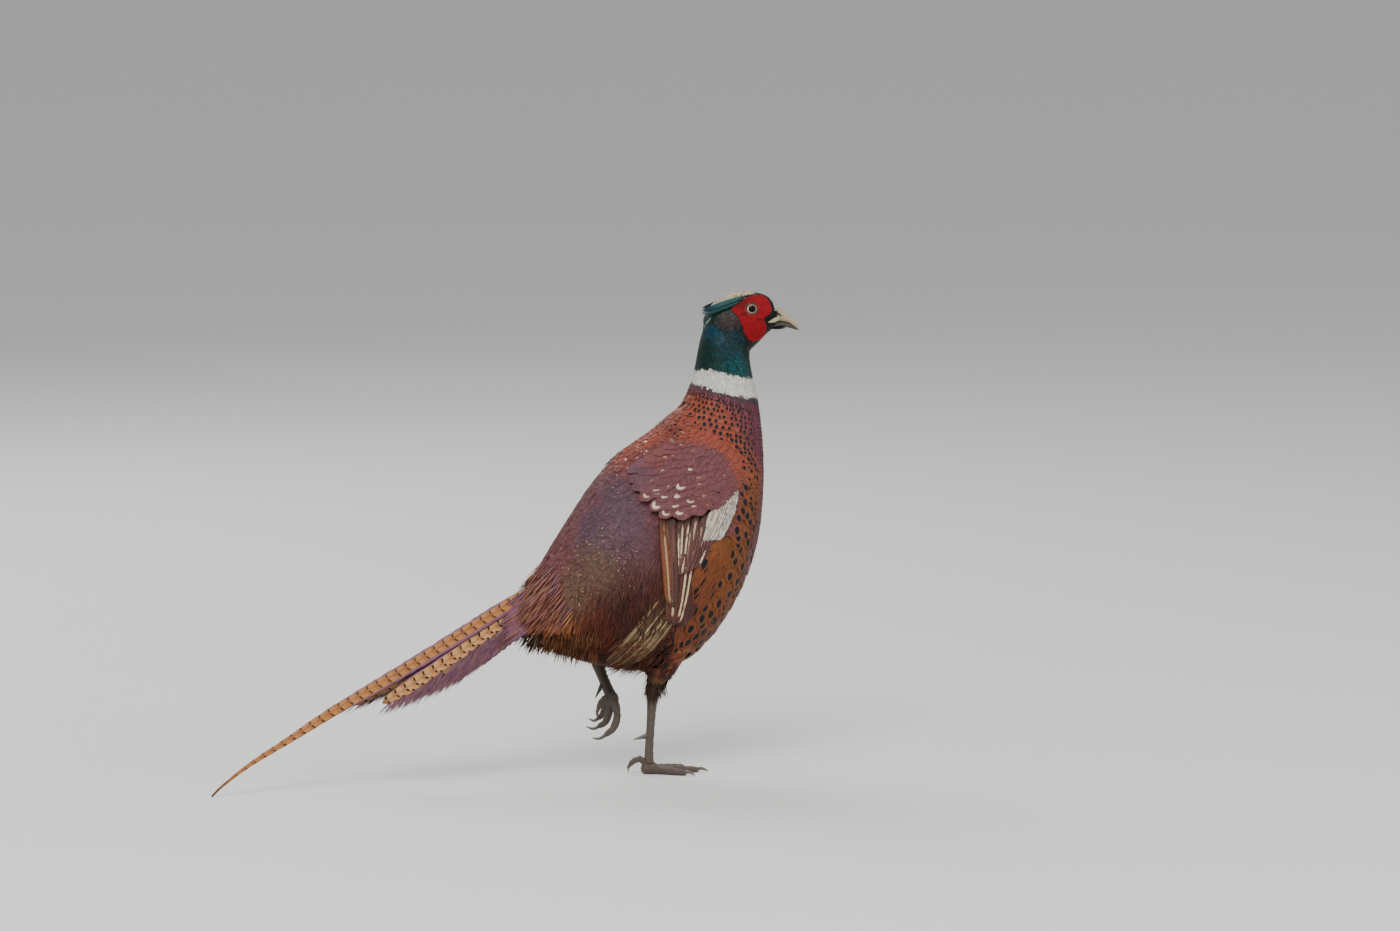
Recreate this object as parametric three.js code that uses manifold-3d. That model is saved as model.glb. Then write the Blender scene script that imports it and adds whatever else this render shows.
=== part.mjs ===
// A cock common pheasant at life size, walking: it stands on its right foot and holds the left one up.
// Millimetres. +X is the way the bird heads, +Y its left and +Z up. The origin is under the pad of the
// standing foot, on the floor.
import * as THREE from "three";
import { mergeVertices } from "three/addons/utils/BufferGeometryUtils.js";
import Module from "manifold-3d";

const wasm = await Module();
wasm.setup();

const { lerp, clamp, smoothstep, degToRad: degrees } = THREE.MathUtils;
const point = (x, y, z) => new THREE.Vector3(x, y, z);
const RIGHT = -1;
const LEFT = 1;

// Driving dimensions
const GAP = 0.3; // between two nodes that touch
const TRUNK_SIDES = 24;
const TRUNK_RINGS = 24;
const NECK_RINGS = 8;
const HEAD_SIDES = 20;
const HEAD_RINGS = 12;
const NECK_CUT = 0.715; // where the torso ends, on the trunk's line
const NECK_START = 0.7166; // where the neck begins, a gap above it
const TURN = { axis: 70, from: 352, to: 425, angle: degrees(-19) }; // the head turns to the bird's right
const EYE = { x: 95.7, y: 13.8, z: 442.1, radius: 5.9 };
const LID = { radius: 5.2, thick: 1.1, y: 18.4 };
const SCUTES = { shank: 8, toe: 4, proud: 0.55 }; // plates on each, and what they add to the radius
const CONE = 0.8; // height of a limb's pointed ends against its radius
const CLAW_RADII = [2.1, 1.5, 0.5];
const LEAF = { root: 0.5, widest: 0.5, round: 0.68, blunt: 0.93 }; // a feather's outline, as shares of it
const VANE = { thick: 0.8, edge: 0.55 }; // of a wing or tail feather, at its shaft and its edges
const SPUR_RADII = [3.2, 1.7, 0.5];

const COLOURS = {
  copper: 0x9a4f2c,
  green: 0x14403f,
  horn: 0xa89f8c,
  red: 0xb01420,
  iris: 0xe8d9a8,
  wing: 0x6b3f42,
  tail: 0xa46a3f,
  thigh: 0x5a3a24,
  shank: 0x6d5f53,
  claw: 0x2f2a27,
};

// Stations of the trunk and neck, from the root of the tail to inside the head. Each has the edge of the
// back and of the belly in the plane of symmetry, as [x, z], and half the width.
const TRUNK = {
  tailRoot: { back: [-131, 170], belly: [-124, 138], half: 17 },
  rump: { back: [-119, 191], belly: [-105, 124], half: 34 },
  loin: { back: [-99, 223], belly: [-76, 112], half: 48 },
  hips: { back: [-79, 253], belly: [-42, 103], half: 56 },
  flank: { back: [-59, 281], belly: [-3, 99], half: 60 },
  back: { back: [-33, 308], belly: [38, 112], half: 61 },
  mantle: { back: [-2, 328], belly: [77, 158], half: 57 },
  shoulders: { back: [15, 341], belly: [99, 210], half: 51 },
  crop: { back: [26.5, 350], belly: [107, 264], half: 43 },
  neckBase: { back: [33, 360], belly: [107, 314], half: 36 },
  collarFoot: { back: [38, 371], belly: [102, 354], half: 30 },
  collarTop: { back: [42, 385], belly: [97, 376], half: 26.5 },
  throat: { back: [45, 402], belly: [94, 394], half: 23.5 },
  nape: { back: [50, 421], belly: [94, 410], half: 20 },
  skull: { back: [58, 438], belly: [92, 424], half: 13 },
};

// Stations of the head, the same way: the crown's and the chin's edge and half the width.
const HEAD = {
  occiput: { back: [50, 432], belly: [50, 418], half: 6 },
  nape: { back: [56, 443], belly: [56, 406], half: 14 },
  ear: { back: [66, 451.5], belly: [66, 400], half: 18.5 },
  crown: { back: [78, 456.5], belly: [78, 397], half: 20 },
  brow: { back: [88.6, 458.5], belly: [88.6, 398], half: 19.5 },
  eye: { back: [97, 457.5], belly: [97, 403], half: 17.5 },
  lore: { back: [106.5, 455], belly: [106.5, 413], half: 14.5 },
  forehead: { back: [114, 450.5], belly: [114, 420.2], half: 11 },
  billRoot: { back: [119, 441], belly: [119, 423], half: 7.5 },
};

// The bill's edges in the plane of symmetry, as [x, z], from root to tip, and half its width.
const BILL = {
  culmen: [[114, 446], [121, 442], [129.5, 436.9], [136.6, 430.2], [141.2, 420.5]],
  gape: [[112, 429.2], [118, 428.8], [125, 428.2], [131.5, 426.7], [140.4, 420.3]],
  keel: [[112, 422], [118, 423.4], [124, 424.3], [130, 423.4], [136.2, 421.9]],
  half: [7.2, 6.6, 5, 3.2, 0.9],
  lower: 0.86, // width of the lower half against the upper
};
const NOSTRIL = { x: 121.6, y: 6.4, z: 435.2, length: 5.5, tall: 1.6, deep: 2.4, tilt: degrees(28) };

// The red skin round the eye and down the cheek, as its outline in the plane of symmetry.
const WATTLE = {
  outline: [
    [75.5, 441.7], [86, 450], [96, 454], [106, 454], [113, 447.4], [114.4, 438], [107.2, 433.2],
    [109.4, 426.9], [109.2, 419.9], [101.6, 411], [93.6, 415], [87.2, 425], [81.4, 436.9],
  ],
  proud: 1.9,
  depth: [3, 29], // how far from the plane of symmetry the skin may lie
  fold: {
    places: [[0.49, 99], [0.53, 111], [0.585, 124], [0.66, 134], [0.77, 141]],
    radii: [0.8, 1.5, 1.8, 1.7, 0.9],
  },
};

// The feathers of an ear tuft all start at one place over the eye, lie along the side of the crown and
// stand off behind it.
const TUFT = {
  root: [91, 13, 452],
  middle: [[77, 16, 450.8], [76, 17, 448.6], [75, 17.8, 446.2]],
  tip: [[50.5, 10.8, 441.8], [47.5, 12.4, 438], [51, 14, 434.8]],
  half: 2.3,
  vane: { thick: 2.6, edge: 1 },
  face: [0, 30, 30], // the way its feathers face
};

// The folded wing. Places are [s, degrees from the back] on the trunk and lifts are over its surface. Each
// tier of feathers fans from its first to its last root and tip, the first being the lowest on the flank.
const WING = {
  arm: { line: [[0.53, 84], [0.44, 84], [0.36, 94]], half: 27, lift: 1.6, vane: { thick: 2.4, edge: 1.6 } },
  tiers: {
    primaries: { count: 5, half: 7.5, roots: [[0.4, 108], [0.37, 88]], tips: [[0.22, 157], [0.178, 139]] },
    secondaries: { count: 6, half: 8.5, roots: [[0.475, 98], [0.37, 74]], tips: [[0.33, 120], [0.27, 95]] },
    coverts: { count: 5, half: 8.5, roots: [[0.52, 94], [0.42, 70]], tips: [[0.43, 106], [0.345, 80]] },
    scapulars: { count: 5, half: 9.5, roots: [[0.53, 76], [0.41, 60]], tips: [[0.42, 84], [0.33, 55]] },
  },
  lift: { primaries: [1.3, 2.4], secondaries: [1.4, 5.2], coverts: [1.6, 6.4], scapulars: [1.8, 8.6] },
  tilt: 0.15, // how much higher each feather's inner edge lies, for each millimetre across
  bend: 0.53, // s at both ends of the wing
  tip: 0.19,
  raised: 20, // degrees that the left wing's tip is held higher
};

// The tail: its ridge in the plane of symmetry as [x, z], and the feathers of each side from the middle
// one outwards. Feathers lie on both slopes of a roof, "down" being how far below the ridge their middles
// are at the root and at the tip, and "under" how far each one lies below the one before.
const TAIL = {
  ridge: [
    [-118, 184], [-138, 172.7], [-176, 151.4], [-226, 123.6], [-275, 97.6], [-318, 75.3], [-366, 48],
    [-399, 29.3], [-426, 10.5], [-437, 0.6],
  ],
  slope: degrees(54),
  lengths: { right: [167, 150, 134, 112, 88], left: [205, 165, 138, 112, 86] },
  down: {
    right: [[6, 20], [10, 25], [13, 28.5], [16, 31.5], [19, 33]],
    left: [[6, 8], [10, 14], [13, 20], [16, 26], [19, 30]],
  },
  half: 8.5,
  under: 1.15,
  long: {
    half: 8.6,
    tilt: degrees(32),
    taper: [0.6, 1, 1, 0.98, 0.9, 0.72, 0.5, 0.3, 0.12],
    vane: { thick: 1.1, edge: 0.6 },
  },
  root: { at: [-126, 0, 157], radii: [22, 12, 19], lean: degrees(-32) },
};

// The front toes of the standing foot lie on the floor: their headings in degrees from the way the bird
// heads, and how far the root of the claw is from the middle of the foot.
const TOES = {
  pad: [-5, 0],
  inner: { heading: 26, reach: 38 },
  middle: { heading: -9, reach: 46 },
  outer: { heading: -42, reach: 36 },
  radii: [4.3, 4, 3.5, 2.7],
  claw: 10,
};

// Each leg's pieces as points on their middle line, as [x, y, z], and the radii along it.
const STANDING_LEG = {
  thigh: {
    line: [[12, -22, 138], [7, -22, 124], [1, -18, 108], [-2.5, -11, 92], [-4.7, -6, 78]],
    radii: [20, 19, 15, 9.5, 6],
  },
  shank: {
    line: [[-4.5, -6, 81], [-5, -4, 59], [-5.6, -2.8, 44], [-6.4, -1.2, 23], [-6, 0, 8]],
    radii: [5.6, 4.4, 4.0, 4.2, 4.8],
  },
  spur: [[-8.5, -2.4, 36.8], [-15, -1.7, 35.4], [-21.7, -1, 33.6]],
  pad: { at: [...TOES.pad, 5], radii: [9.5, 7.5, 6.5] },
  toes: [
    flatToe(TOES.inner),
    flatToe(TOES.middle),
    flatToe(TOES.outer),
    {
      line: [[-8, 0.5, 9], [-14, 1.5, 14], [-20, 2.6, 12.6], [-23.6, 3.4, 9.4]],
      radii: [3.6, 3.1, 2.8, 2.3],
      claw: [[-23, 3.3, 10.2], [-25.4, 3.8, 6.4], [-25.6, 4, 2]],
    },
  ],
};
const RAISED_LEG = {
  thigh: { line: [[8, 22, 138], [-10, 28, 128], [-30, 40, 121], [-44, 48, 115]], radii: [20, 18, 12, 7.5] },
  shank: {
    line: [[-46, 49, 114], [-41, 42, 96.5], [-38.6, 34, 85], [-36, 24, 73]],
    radii: [6.6, 5.4, 5, 5.4],
  },
  spur: [[-40.5, 33, 84], [-45, 32, 77], [-49.1, 31, 70.3]],
  pad: { at: [-36, 21, 70], radii: [7, 7, 8] },
  toes: [
    {
      line: [[-35.5, 17, 69], [-33.6, 12, 57], [-37.5, 10, 44.6], [-46.3, 8.5, 38]],
      radii: [4.3, 4, 3.6, 2.7],
      claw: [[-45, 8.7, 38.8], [-53, 8, 34.8], [-60.4, 7, 36]],
    },
    {
      line: [[-37.5, 21, 68], [-38.2, 22, 57.7], [-41.4, 23, 48.3], [-47.6, 24, 44.2]],
      radii: [4.2, 3.8, 3.3, 2.6],
      claw: [[-46.5, 24, 45], [-53.5, 24.6, 42], [-60.3, 25, 44.5]],
    },
    {
      line: [[-37, 25, 70], [-39, 32, 61], [-39.6, 37, 53.6], [-43, 39, 49.6]],
      radii: [4, 3.5, 3, 2.4],
      claw: [[-42, 38.6, 50.4], [-47.5, 40, 47.4], [-52, 41, 49.4]],
    },
    {
      line: [[-38, 20, 73], [-44, 17, 72], [-49.5, 14.5, 68], [-52, 13.5, 62.5]],
      radii: [3.5, 3, 2.7, 2.2],
      claw: [[-51.7, 13.6, 64], [-53.6, 13, 58.6], [-53.4, 12.8, 53.5]],
    },
  ],
};

// A toe that lies on the floor, and its claw.
function flatToe({ heading, reach }) {
  const [x, y] = TOES.pad;
  const at = (far, z) => [x + far * Math.cos(degrees(heading)), y + far * Math.sin(degrees(heading)), z];
  return {
    line: [at(1, 4), at(0.34 * reach, 3.8), at(0.68 * reach, 3.3), at(reach, 2.5)],
    radii: TOES.radii,
    claw: [at(reach - 2, 2.8), at(reach + 0.45 * TOES.claw, 3.6), at(reach + TOES.claw, 1)],
  };
}

// Turns a point of the neck or head about the upright axis of the neck, more the higher it lies.
function turned(p) {
  const angle = TURN.angle * smoothstep(p.z, TURN.from, TURN.to);
  const ahead = p.x - TURN.axis;
  return point(
    TURN.axis + ahead * Math.cos(angle) - p.y * Math.sin(angle),
    ahead * Math.sin(angle) + p.y * Math.cos(angle),
    p.z,
  );
}

// A smooth curve through rows of up to three values; 0 is the first row and 1 the last.
function through(rows) {
  const points = rows.map(([a, b = 0, c = 0]) => point(a, b, c));
  const curve = new THREE.CatmullRomCurve3(points, false, "catmullrom", 0.5);
  return (t) => curve.getPoint(clamp(t, 0, 1));
}

const inPlane = ([x, z]) => [x, 0, z];

// The surface of a body through stations, as a function on(s, angle, lift): s runs from its first to its
// last station, angle from the back (0) over the left side to the belly (PI), and over the right side with
// a minus, and lift is the height over the surface.
function surface(stations, bend = (p) => p) {
  const rows = Object.values(stations);
  const backEdge = through(rows.map((row) => inPlane(row.back)));
  const bellyEdge = through(rows.map((row) => inPlane(row.belly)));
  const half = through(rows.map((row) => [row.half]));
  return (s, angle, lift = 0) => {
    const back = backEdge(s);
    const middle = back.clone().add(bellyEdge(s)).multiplyScalar(0.5);
    const rise = back.sub(middle);
    rise.setLength(rise.length() + lift).multiplyScalar(Math.cos(angle));
    return bend(middle.add(rise).add(point(0, Math.sin(angle) * (half(s).x + lift), 0)));
  };
}

const onTrunk = surface(TRUNK, turned);
const onHead = surface(HEAD, turned);

// A closed three.js geometry as a solid that can be joined and cut, its faces pointing out.
function solid(geometry) {
  const bare = geometry.clone();
  bare.deleteAttribute("normal");
  bare.deleteAttribute("uv");
  const merged = mergeVertices(bare, 1e-3);
  const vertProperties = new Float32Array(merged.getAttribute("position").array);
  const triVerts = new Uint32Array(merged.index.array);
  const build = () => new wasm.Manifold(new wasm.Mesh({ numProp: 3, vertProperties, triVerts }));
  const made = build();
  if (made.volume() > 0) return made;
  for (let i = 0; i < triVerts.length; i += 3) {
    [triVerts[i + 1], triVerts[i + 2]] = [triVerts[i + 2], triVerts[i + 1]];
  }
  return build();
}

// Moves every vertex of a geometry to where place(vertex) says.
function reshape(geometry, place) {
  const at = geometry.getAttribute("position");
  for (let i = 0; i < at.count; i++) {
    const moved = place(point(at.getX(i), at.getY(i), at.getZ(i)));
    at.setXYZ(i, moved.x, moved.y, moved.z);
  }
  return geometry;
}

// A unit cylinder with caps whose vertices go to place(t, angle, reach): t runs from one end to the
// other, and reach is 0 on the axis and 1 at the wall.
function sleeve(sides, rings, place) {
  const tube = new THREE.CylinderGeometry(1, 1, 1, sides, rings);
  return solid(reshape(tube, (v) => place(v.y + 0.5, Math.atan2(v.x, v.z), Math.hypot(v.x, v.z))));
}

// The body inside the surface "on" between two places along it, closed by flat ends.
function bodyOf(on, from, to, sides, rings, lift = 0) {
  return sleeve(sides, rings, (t, angle, reach) => {
    const s = lerp(from, to, t);
    const hub = on(s, 0, lift).add(on(s, Math.PI, lift)).multiplyScalar(0.5);
    return hub.lerp(on(s, angle, lift), reach);
  });
}

// A tube of changing thickness along a curve through points, with pointed ends. ahead lies in the plane
// of its section at angle 0, and relief(t, angle) adds to the radius.
function limb(points, radii, options = {}) {
  const { sides = 10, rings = 8, grow = 0, ahead = point(1, 0, 0), relief = () => 0 } = options;
  const line = new THREE.CatmullRomCurve3(points, false, "catmullrom", 0.5);
  const thick = through(radii.map((r) => [r]));
  return sleeve(sides, rings, (t, angle, reach) => {
    const way = line.getTangent(t);
    const front = ahead.clone().addScaledVector(way, -ahead.dot(way)).normalize();
    const side = way.clone().cross(front);
    const radius = thick(t).x + grow + relief(t, angle);
    const hub = line.getPoint(t);
    if (reach < 0.5) return hub.addScaledVector(way, (t < 0.5 ? -1 : 1) * (CONE * radius + grow / 2));
    const across = Math.sin(angle) * radius;
    return hub.addScaledVector(front, Math.cos(angle) * radius).addScaledVector(side, across);
  });
}

// The outline of a feather: narrow at the root, widest past the middle and round at the tip.
function leaf(t) {
  const { root, widest, round, blunt } = LEAF;
  const spread = lerp(root, 1, Math.sin((Math.min(t / widest, 1) * Math.PI) / 2));
  const tip = Math.max(t - round, 0) / (1 - round);
  return spread * Math.sqrt(1 - blunt * tip * tip);
}

// A vane: place(along, across, lift) gives a point along it from 0 to 1, so many millimetres to one side
// of its midline and over the surface it lies on. Both faces are split into triangles alike.
function vane(place, half, options = {}) {
  const { thick = 0.9, edge = 0.5, along = 4, across = 2, outline = leaf } = options;
  const columns = across + 1;
  const under = (along + 1) * columns;
  const at = [];
  for (const face of [1, -1]) {
    for (let i = 0; i <= along; i++) {
      for (let j = 0; j <= across; j++) {
        const u = (2 * j) / across - 1;
        const deep = lerp(thick, edge, Math.abs(u)) * lerp(1, 0.6, i / along);
        at.push(...place(i / along, u * half * outline(i / along), (face * deep) / 2).toArray());
      }
    }
  }
  const index = [];
  const quad = (a, b, c, d) => index.push(a, b, c, a, c, d);
  for (let i = 0; i < along; i++) {
    const left = i * columns;
    const right = left + across;
    for (let a = left; a < right; a++) {
      quad(a, a + 1, a + columns + 1, a + columns);
      index.push(under + a, under + a + columns + 1, under + a + 1);
      index.push(under + a, under + a + columns, under + a + columns + 1);
    }
    quad(left, left + columns, left + columns + under, left + under);
    quad(right, right + under, right + columns + under, right + columns);
  }
  const last = along * columns;
  for (let j = 0; j < across; j++) {
    quad(j, j + under, j + 1 + under, j + 1);
    quad(last + j, last + j + 1, last + j + 1 + under, last + j + under);
  }
  const made = new THREE.BufferGeometry();
  made.setAttribute("position", new THREE.BufferAttribute(new Float32Array(at), 3));
  made.setIndex(index);
  return solid(made);
}

// Where a vane lies that hugs the surface "on" along a path of places [s, angle], its height over the
// surface going from the first lift to the last.
function hugging(on, path, lift) {
  const step = 1e-3;
  const placeAt = through(path);
  const heightAt = through(lift.map((h) => [h]));
  return (t, across, rise) => {
    const { x: s, y: angle } = placeAt(t);
    const byS = on(s + step, angle).sub(on(s - step, angle)).divideScalar(2 * step);
    const byAngle = on(s, angle + step).sub(on(s, angle - step)).divideScalar(2 * step);
    const next = placeAt(t + step).sub(placeAt(t - step));
    const way = byS.clone().multiplyScalar(next.x).addScaledVector(byAngle, next.y);
    const side = byS.clone().cross(byAngle).cross(way).normalize().multiplyScalar(across);
    const ds = side.dot(byS) / byS.lengthSq();
    const dAngle = side.dot(byAngle) / byAngle.lengthSq();
    return on(s + ds, angle + dAngle, heightAt(t).x + rise);
  };
}

// Where a vane lies that follows a curve of its own, its upper face turned to "face".
function along(curve, face) {
  return (t, across, rise) => {
    const way = curve.getTangent(t);
    const up = face.clone().addScaledVector(way, -face.dot(way)).normalize();
    const side = way.cross(up);
    return curve.getPoint(t).addScaledVector(side, across).addScaledVector(up, rise);
  };
}

const union = (pieces) => pieces.reduce((a, b) => a.add(b));
const cut = (piece, ...others) => others.reduce((a, b) => a.subtract(b), piece);

function block(low, high) {
  const size = high.map((v, i) => v - low[i]);
  const made = new THREE.BoxGeometry(...size);
  made.translate(...low.map((v, i) => v + size[i] / 2));
  return solid(made);
}

function ellipsoid(centre, radii, options = {}) {
  const { sides = 14, rings = 10, lean = 0 } = options;
  const made = new THREE.SphereGeometry(1, sides, rings);
  made.rotateX(Math.PI / 2);
  made.scale(...radii);
  made.rotateY(lean);
  made.translate(...centre);
  return solid(made);
}

const ball = (centre, radius) => ellipsoid(centre.toArray(), [radius, radius, radius]);

const group = new THREE.Group();

// Puts the largest closed body of a solid in the group, as the node of that name.
function node(name, made, colour, roughness = 0.8) {
  const kept = made.decompose().reduce((a, b) => (b.volume() > a.volume() ? b : a));
  const mesh = kept.getMesh();
  const at = new Float32Array(mesh.numVert * 3);
  for (let i = 0; i < mesh.numVert; i++) {
    at.set(mesh.vertProperties.subarray(i * mesh.numProp, i * mesh.numProp + 3), i * 3);
  }
  const geometry = new THREE.BufferGeometry();
  geometry.setAttribute("position", new THREE.BufferAttribute(at, 3));
  geometry.setIndex(new THREE.BufferAttribute(new Uint32Array(mesh.triVerts), 1));
  geometry.computeVertexNormals();
  const look = new THREE.MeshStandardMaterial({ color: colour, roughness, metalness: 0 });
  const shown = new THREE.Mesh(geometry, look);
  shown.name = name;
  group.add(shown);
}

const sideName = (side) => (side === RIGHT ? "right" : "left");

// The trunk, neck and head
const trunk = (lift) => bodyOf(onTrunk, 0, NECK_CUT, TRUNK_SIDES, TRUNK_RINGS, lift);
const skull = (lift) => bodyOf(onHead, 0, 1, HEAD_SIDES, HEAD_RINGS, lift);
const trunkClear = trunk(GAP);
const skullClear = skull(GAP);
const eyeAt = (side) => turned(point(EYE.x, side * EYE.y, EYE.z));
const sockets = [RIGHT, LEFT].map((side) => ball(eyeAt(side), EYE.radius + GAP));

node("torso", trunk(0), COLOURS.copper);
const neck = bodyOf(onTrunk, NECK_START, 1, TRUNK_SIDES, NECK_RINGS);
node("neck", cut(neck, skullClear), COLOURS.green);
node("head", cut(skull(0), ...sockets), COLOURS.green);

// Half of the bill, between an upper and a lower edge.
function mandible(upper, lower, half, drop = 0) {
  const top = through(upper.map(inPlane));
  const low = through(lower.map(inPlane));
  const wide = through(half.map((h) => [h]));
  return sleeve(12, 8, (t, angle, reach) => {
    const p = low(t).lerp(top(t), 0.5 + 0.5 * Math.cos(angle) * reach);
    return turned(point(p.x, Math.sin(angle) * wide(t).x * reach, p.z - drop));
  });
}

function nostril(side) {
  const { x, y, z, length, deep, tall, tilt } = NOSTRIL;
  const at = turned(point(x, side * y, z)).toArray();
  return ellipsoid(at, [length / 2, deep, tall / 2], { sides: 8, rings: 5, lean: tilt });
}

const upperBill = mandible(BILL.culmen, BILL.gape, BILL.half);
const upperClear = mandible(BILL.culmen, BILL.gape, BILL.half.map((h) => h + GAP), GAP);
const lowerBill = mandible(BILL.gape, BILL.keel, BILL.half.map((h) => BILL.lower * h));
node("bill_upper", cut(upperBill, skullClear, nostril(RIGHT), nostril(LEFT)), COLOURS.horn, 0.45);
node("bill_lower", cut(lowerBill, skullClear, upperClear), COLOURS.horn, 0.45);

// The red skin lies on the side of the head, with the lids as a ring round the eye.
function wattle(side) {
  const outline = new THREE.CatmullRomCurve3(WATTLE.outline.map(([x, z]) => point(x, z, 0)), true);
  const edge = outline.getPoints(22).slice(0, -1);
  const shape = new THREE.Shape(edge.map((p) => new THREE.Vector2(p.x, p.y)));
  const [near, far] = WATTLE.depth;
  const prism = new THREE.ExtrudeGeometry(shape, { depth: far - near, bevelEnabled: false });
  prism.rotateX(Math.PI / 2);
  prism.translate(0, side === LEFT ? far : -near, 0);
  const lid = new THREE.TorusGeometry(LID.radius, LID.thick, 5, 12);
  lid.rotateX(Math.PI / 2);
  lid.translate(EYE.x, side * LID.y, EYE.z);
  const plate = skull(WATTLE.proud).intersect(solid(reshape(prism, turned)));
  const rim = WATTLE.fold.places.map(([s, angle]) => onHead(s, side * degrees(angle), WATTLE.proud));
  const fold = limb(rim, WATTLE.fold.radii, { sides: 5, rings: 5 });
  return cut(union([plate, fold, solid(reshape(lid, turned))]), skullClear, ...sockets);
}

for (const side of [RIGHT, LEFT]) {
  node(`wattle_${sideName(side)}`, wattle(side), COLOURS.red, 0.6);
  node(`eye_${sideName(side)}`, ball(eyeAt(side), EYE.radius), COLOURS.iris, 0.2);
}

// The ear tufts
function tuft(side) {
  const place = ([x, y, z]) => turned(point(x, side * y, z));
  const face = place(TUFT.root.map((x, i) => x + TUFT.face[i])).sub(place(TUFT.root));
  const feathers = TUFT.tip.map((tip, i) => {
    const line = new THREE.CatmullRomCurve3([place(TUFT.root), place(TUFT.middle[i]), place(tip)]);
    return vane(along(line, face), TUFT.half, { ...TUFT.vane, along: 6 });
  });
  return cut(union(feathers), skull(WATTLE.proud + GAP));
}

for (const side of [RIGHT, LEFT]) node(`ear_tuft_${sideName(side)}`, tuft(side), COLOURS.green);

// Places on the wing of one side of the trunk. The left wing is held higher, clear of the raised leg, the
// more so the nearer a place is to the wing's tip.
function onSide(side, places) {
  const { bend, tip, raised } = WING;
  const higher = (s) => (side === LEFT ? raised * clamp((bend - s) / (bend - tip), 0, 1) : 0);
  return places.map(([s, angle]) => [s, side * degrees(angle - higher(s))]);
}

// One feather of a tier, u of the way from the first to the last.
function wingFeather(side, name, u) {
  const { half, roots, tips } = WING.tiers[name];
  const place = ([first, last]) => [lerp(first[0], last[0], u), lerp(first[1], last[1], u)];
  const lying = hugging(onTrunk, onSide(side, [place(roots), place(tips)]), WING.lift[name]);
  const shingled = (t, across, rise) => lying(t, across, rise + side * WING.tilt * across);
  return vane(shingled, half, VANE);
}

// The folded wing: its feathers grow out of the arm under them.
function wing(side) {
  const { line, half, lift, vane: form } = WING.arm;
  const lying = hugging(onTrunk, onSide(side, line), [lift, lift]);
  const pieces = [vane(lying, half, { ...form, along: 6, across: 6 })];
  for (const [name, { count }] of Object.entries(WING.tiers)) {
    for (let i = 0; i < count; i++) pieces.push(wingFeather(side, name, i / (count - 1)));
  }
  return cut(union(pieces), trunkClear);
}

for (const side of [RIGHT, LEFT]) node(`wing_${sideName(side)}`, wing(side), COLOURS.wing);

// The tail rests on the floor with the tip of its longest feather.
const aboveFloor = block([-500, -100, 0], [200, 100, 300]);
const ridgePoints = TAIL.ridge.map(([x, z]) => point(x, 0, z));
const ridge = new THREE.CatmullRomCurve3(ridgePoints, false, "catmullrom", 0.5);

// A feather on one slope of the tail, so many below the middle one.
function tailFeather(side, below) {
  const name = sideName(side);
  const share = TAIL.lengths[name][below] / ridge.getLength();
  const [first, last] = TAIL.down[name][below];
  const out = point(0, side * Math.cos(TAIL.slope), -Math.sin(TAIL.slope));
  const face = point(0, side * Math.sin(TAIL.slope), Math.cos(TAIL.slope));
  const at = (t) => {
    const p = ridge.getPointAt(t * share).addScaledVector(out, lerp(first, last, Math.sqrt(t)));
    return p.addScaledVector(face, -TAIL.under * (below + 1));
  };
  const line = new THREE.CatmullRomCurve3([0, 0.33, 0.66, 1].map(at));
  return vane(along(line, face), TAIL.half, VANE);
}

function longFeather() {
  const { half, tilt, taper, vane: form } = TAIL.long;
  const face = point(0, -Math.sin(tilt), Math.cos(tilt));
  const width = through(taper.map((w) => [w]));
  return vane(along(ridge, face), half, { ...form, along: 16, outline: (t) => width(t).x });
}

const { at: tailAt, radii: tailRadii, lean: tailLean } = TAIL.root;
const tail = [ellipsoid(tailAt, tailRadii, { sides: 10, rings: 8, lean: tailLean }), longFeather()];
for (const side of [RIGHT, LEFT]) {
  TAIL.lengths[sideName(side)].forEach((_, below) => tail.push(tailFeather(side, below)));
}
node("tail", cut(union(tail).intersect(aboveFloor), trunkClear), COLOURS.tail);

// Overlapping plates on the front or top of a limb, as what they add to its radius.
function scutes(count) {
  return (t, angle) => SCUTES.proud * (Math.round(2 * count * t) % 2) * Math.max(Math.cos(angle), 0);
}

// A leg: the thigh comes out of the trunk, the shank out of the thigh and the foot, the spur out of the
// shank and the claws out of the foot.
function leg(side, form) {
  const name = sideName(side);
  const points = (line) => line.map((row) => point(...row));
  const plated = (piece, count, options) => {
    return limb(points(piece.line), piece.radii, { rings: 2 * count, relief: scutes(count), ...options });
  };
  const thigh = (grow) => limb(points(form.thigh.line), form.thigh.radii, { sides: 14, grow });
  const shank = (grow) => plated(form.shank, SCUTES.shank, { grow });
  const toe = (piece, grow) => plated(piece, SCUTES.toe, { sides: 8, grow, ahead: point(0, 0, 1) });
  const foot = (grow) => {
    const pad = ellipsoid(form.pad.at, form.pad.radii.map((r) => r + grow), { sides: 12, rings: 8 });
    return union([pad, ...form.toes.map((piece) => toe(piece, grow))]);
  };
  const footClear = foot(GAP);
  const spur = limb(points(form.spur), SPUR_RADII, { sides: 8, rings: 5 });
  node(`thigh_${name}`, cut(thigh(0), trunkClear), COLOURS.thigh);
  node(`shank_${name}`, cut(shank(0), thigh(GAP), trunkClear, footClear), COLOURS.shank, 0.6);
  node(`spur_${name}`, cut(spur, shank(GAP)), COLOURS.claw, 0.5);
  node(`foot_${name}`, foot(0).intersect(aboveFloor), COLOURS.shank, 0.6);
  form.toes.forEach((piece, i) => {
    const claw = limb(points(piece.claw), CLAW_RADII, { sides: 8, rings: 5, ahead: point(0, 0, 1) });
    node(`claw_${name}_${i + 1}`, cut(claw, footClear), COLOURS.claw, 0.5);
  });
}

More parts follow.
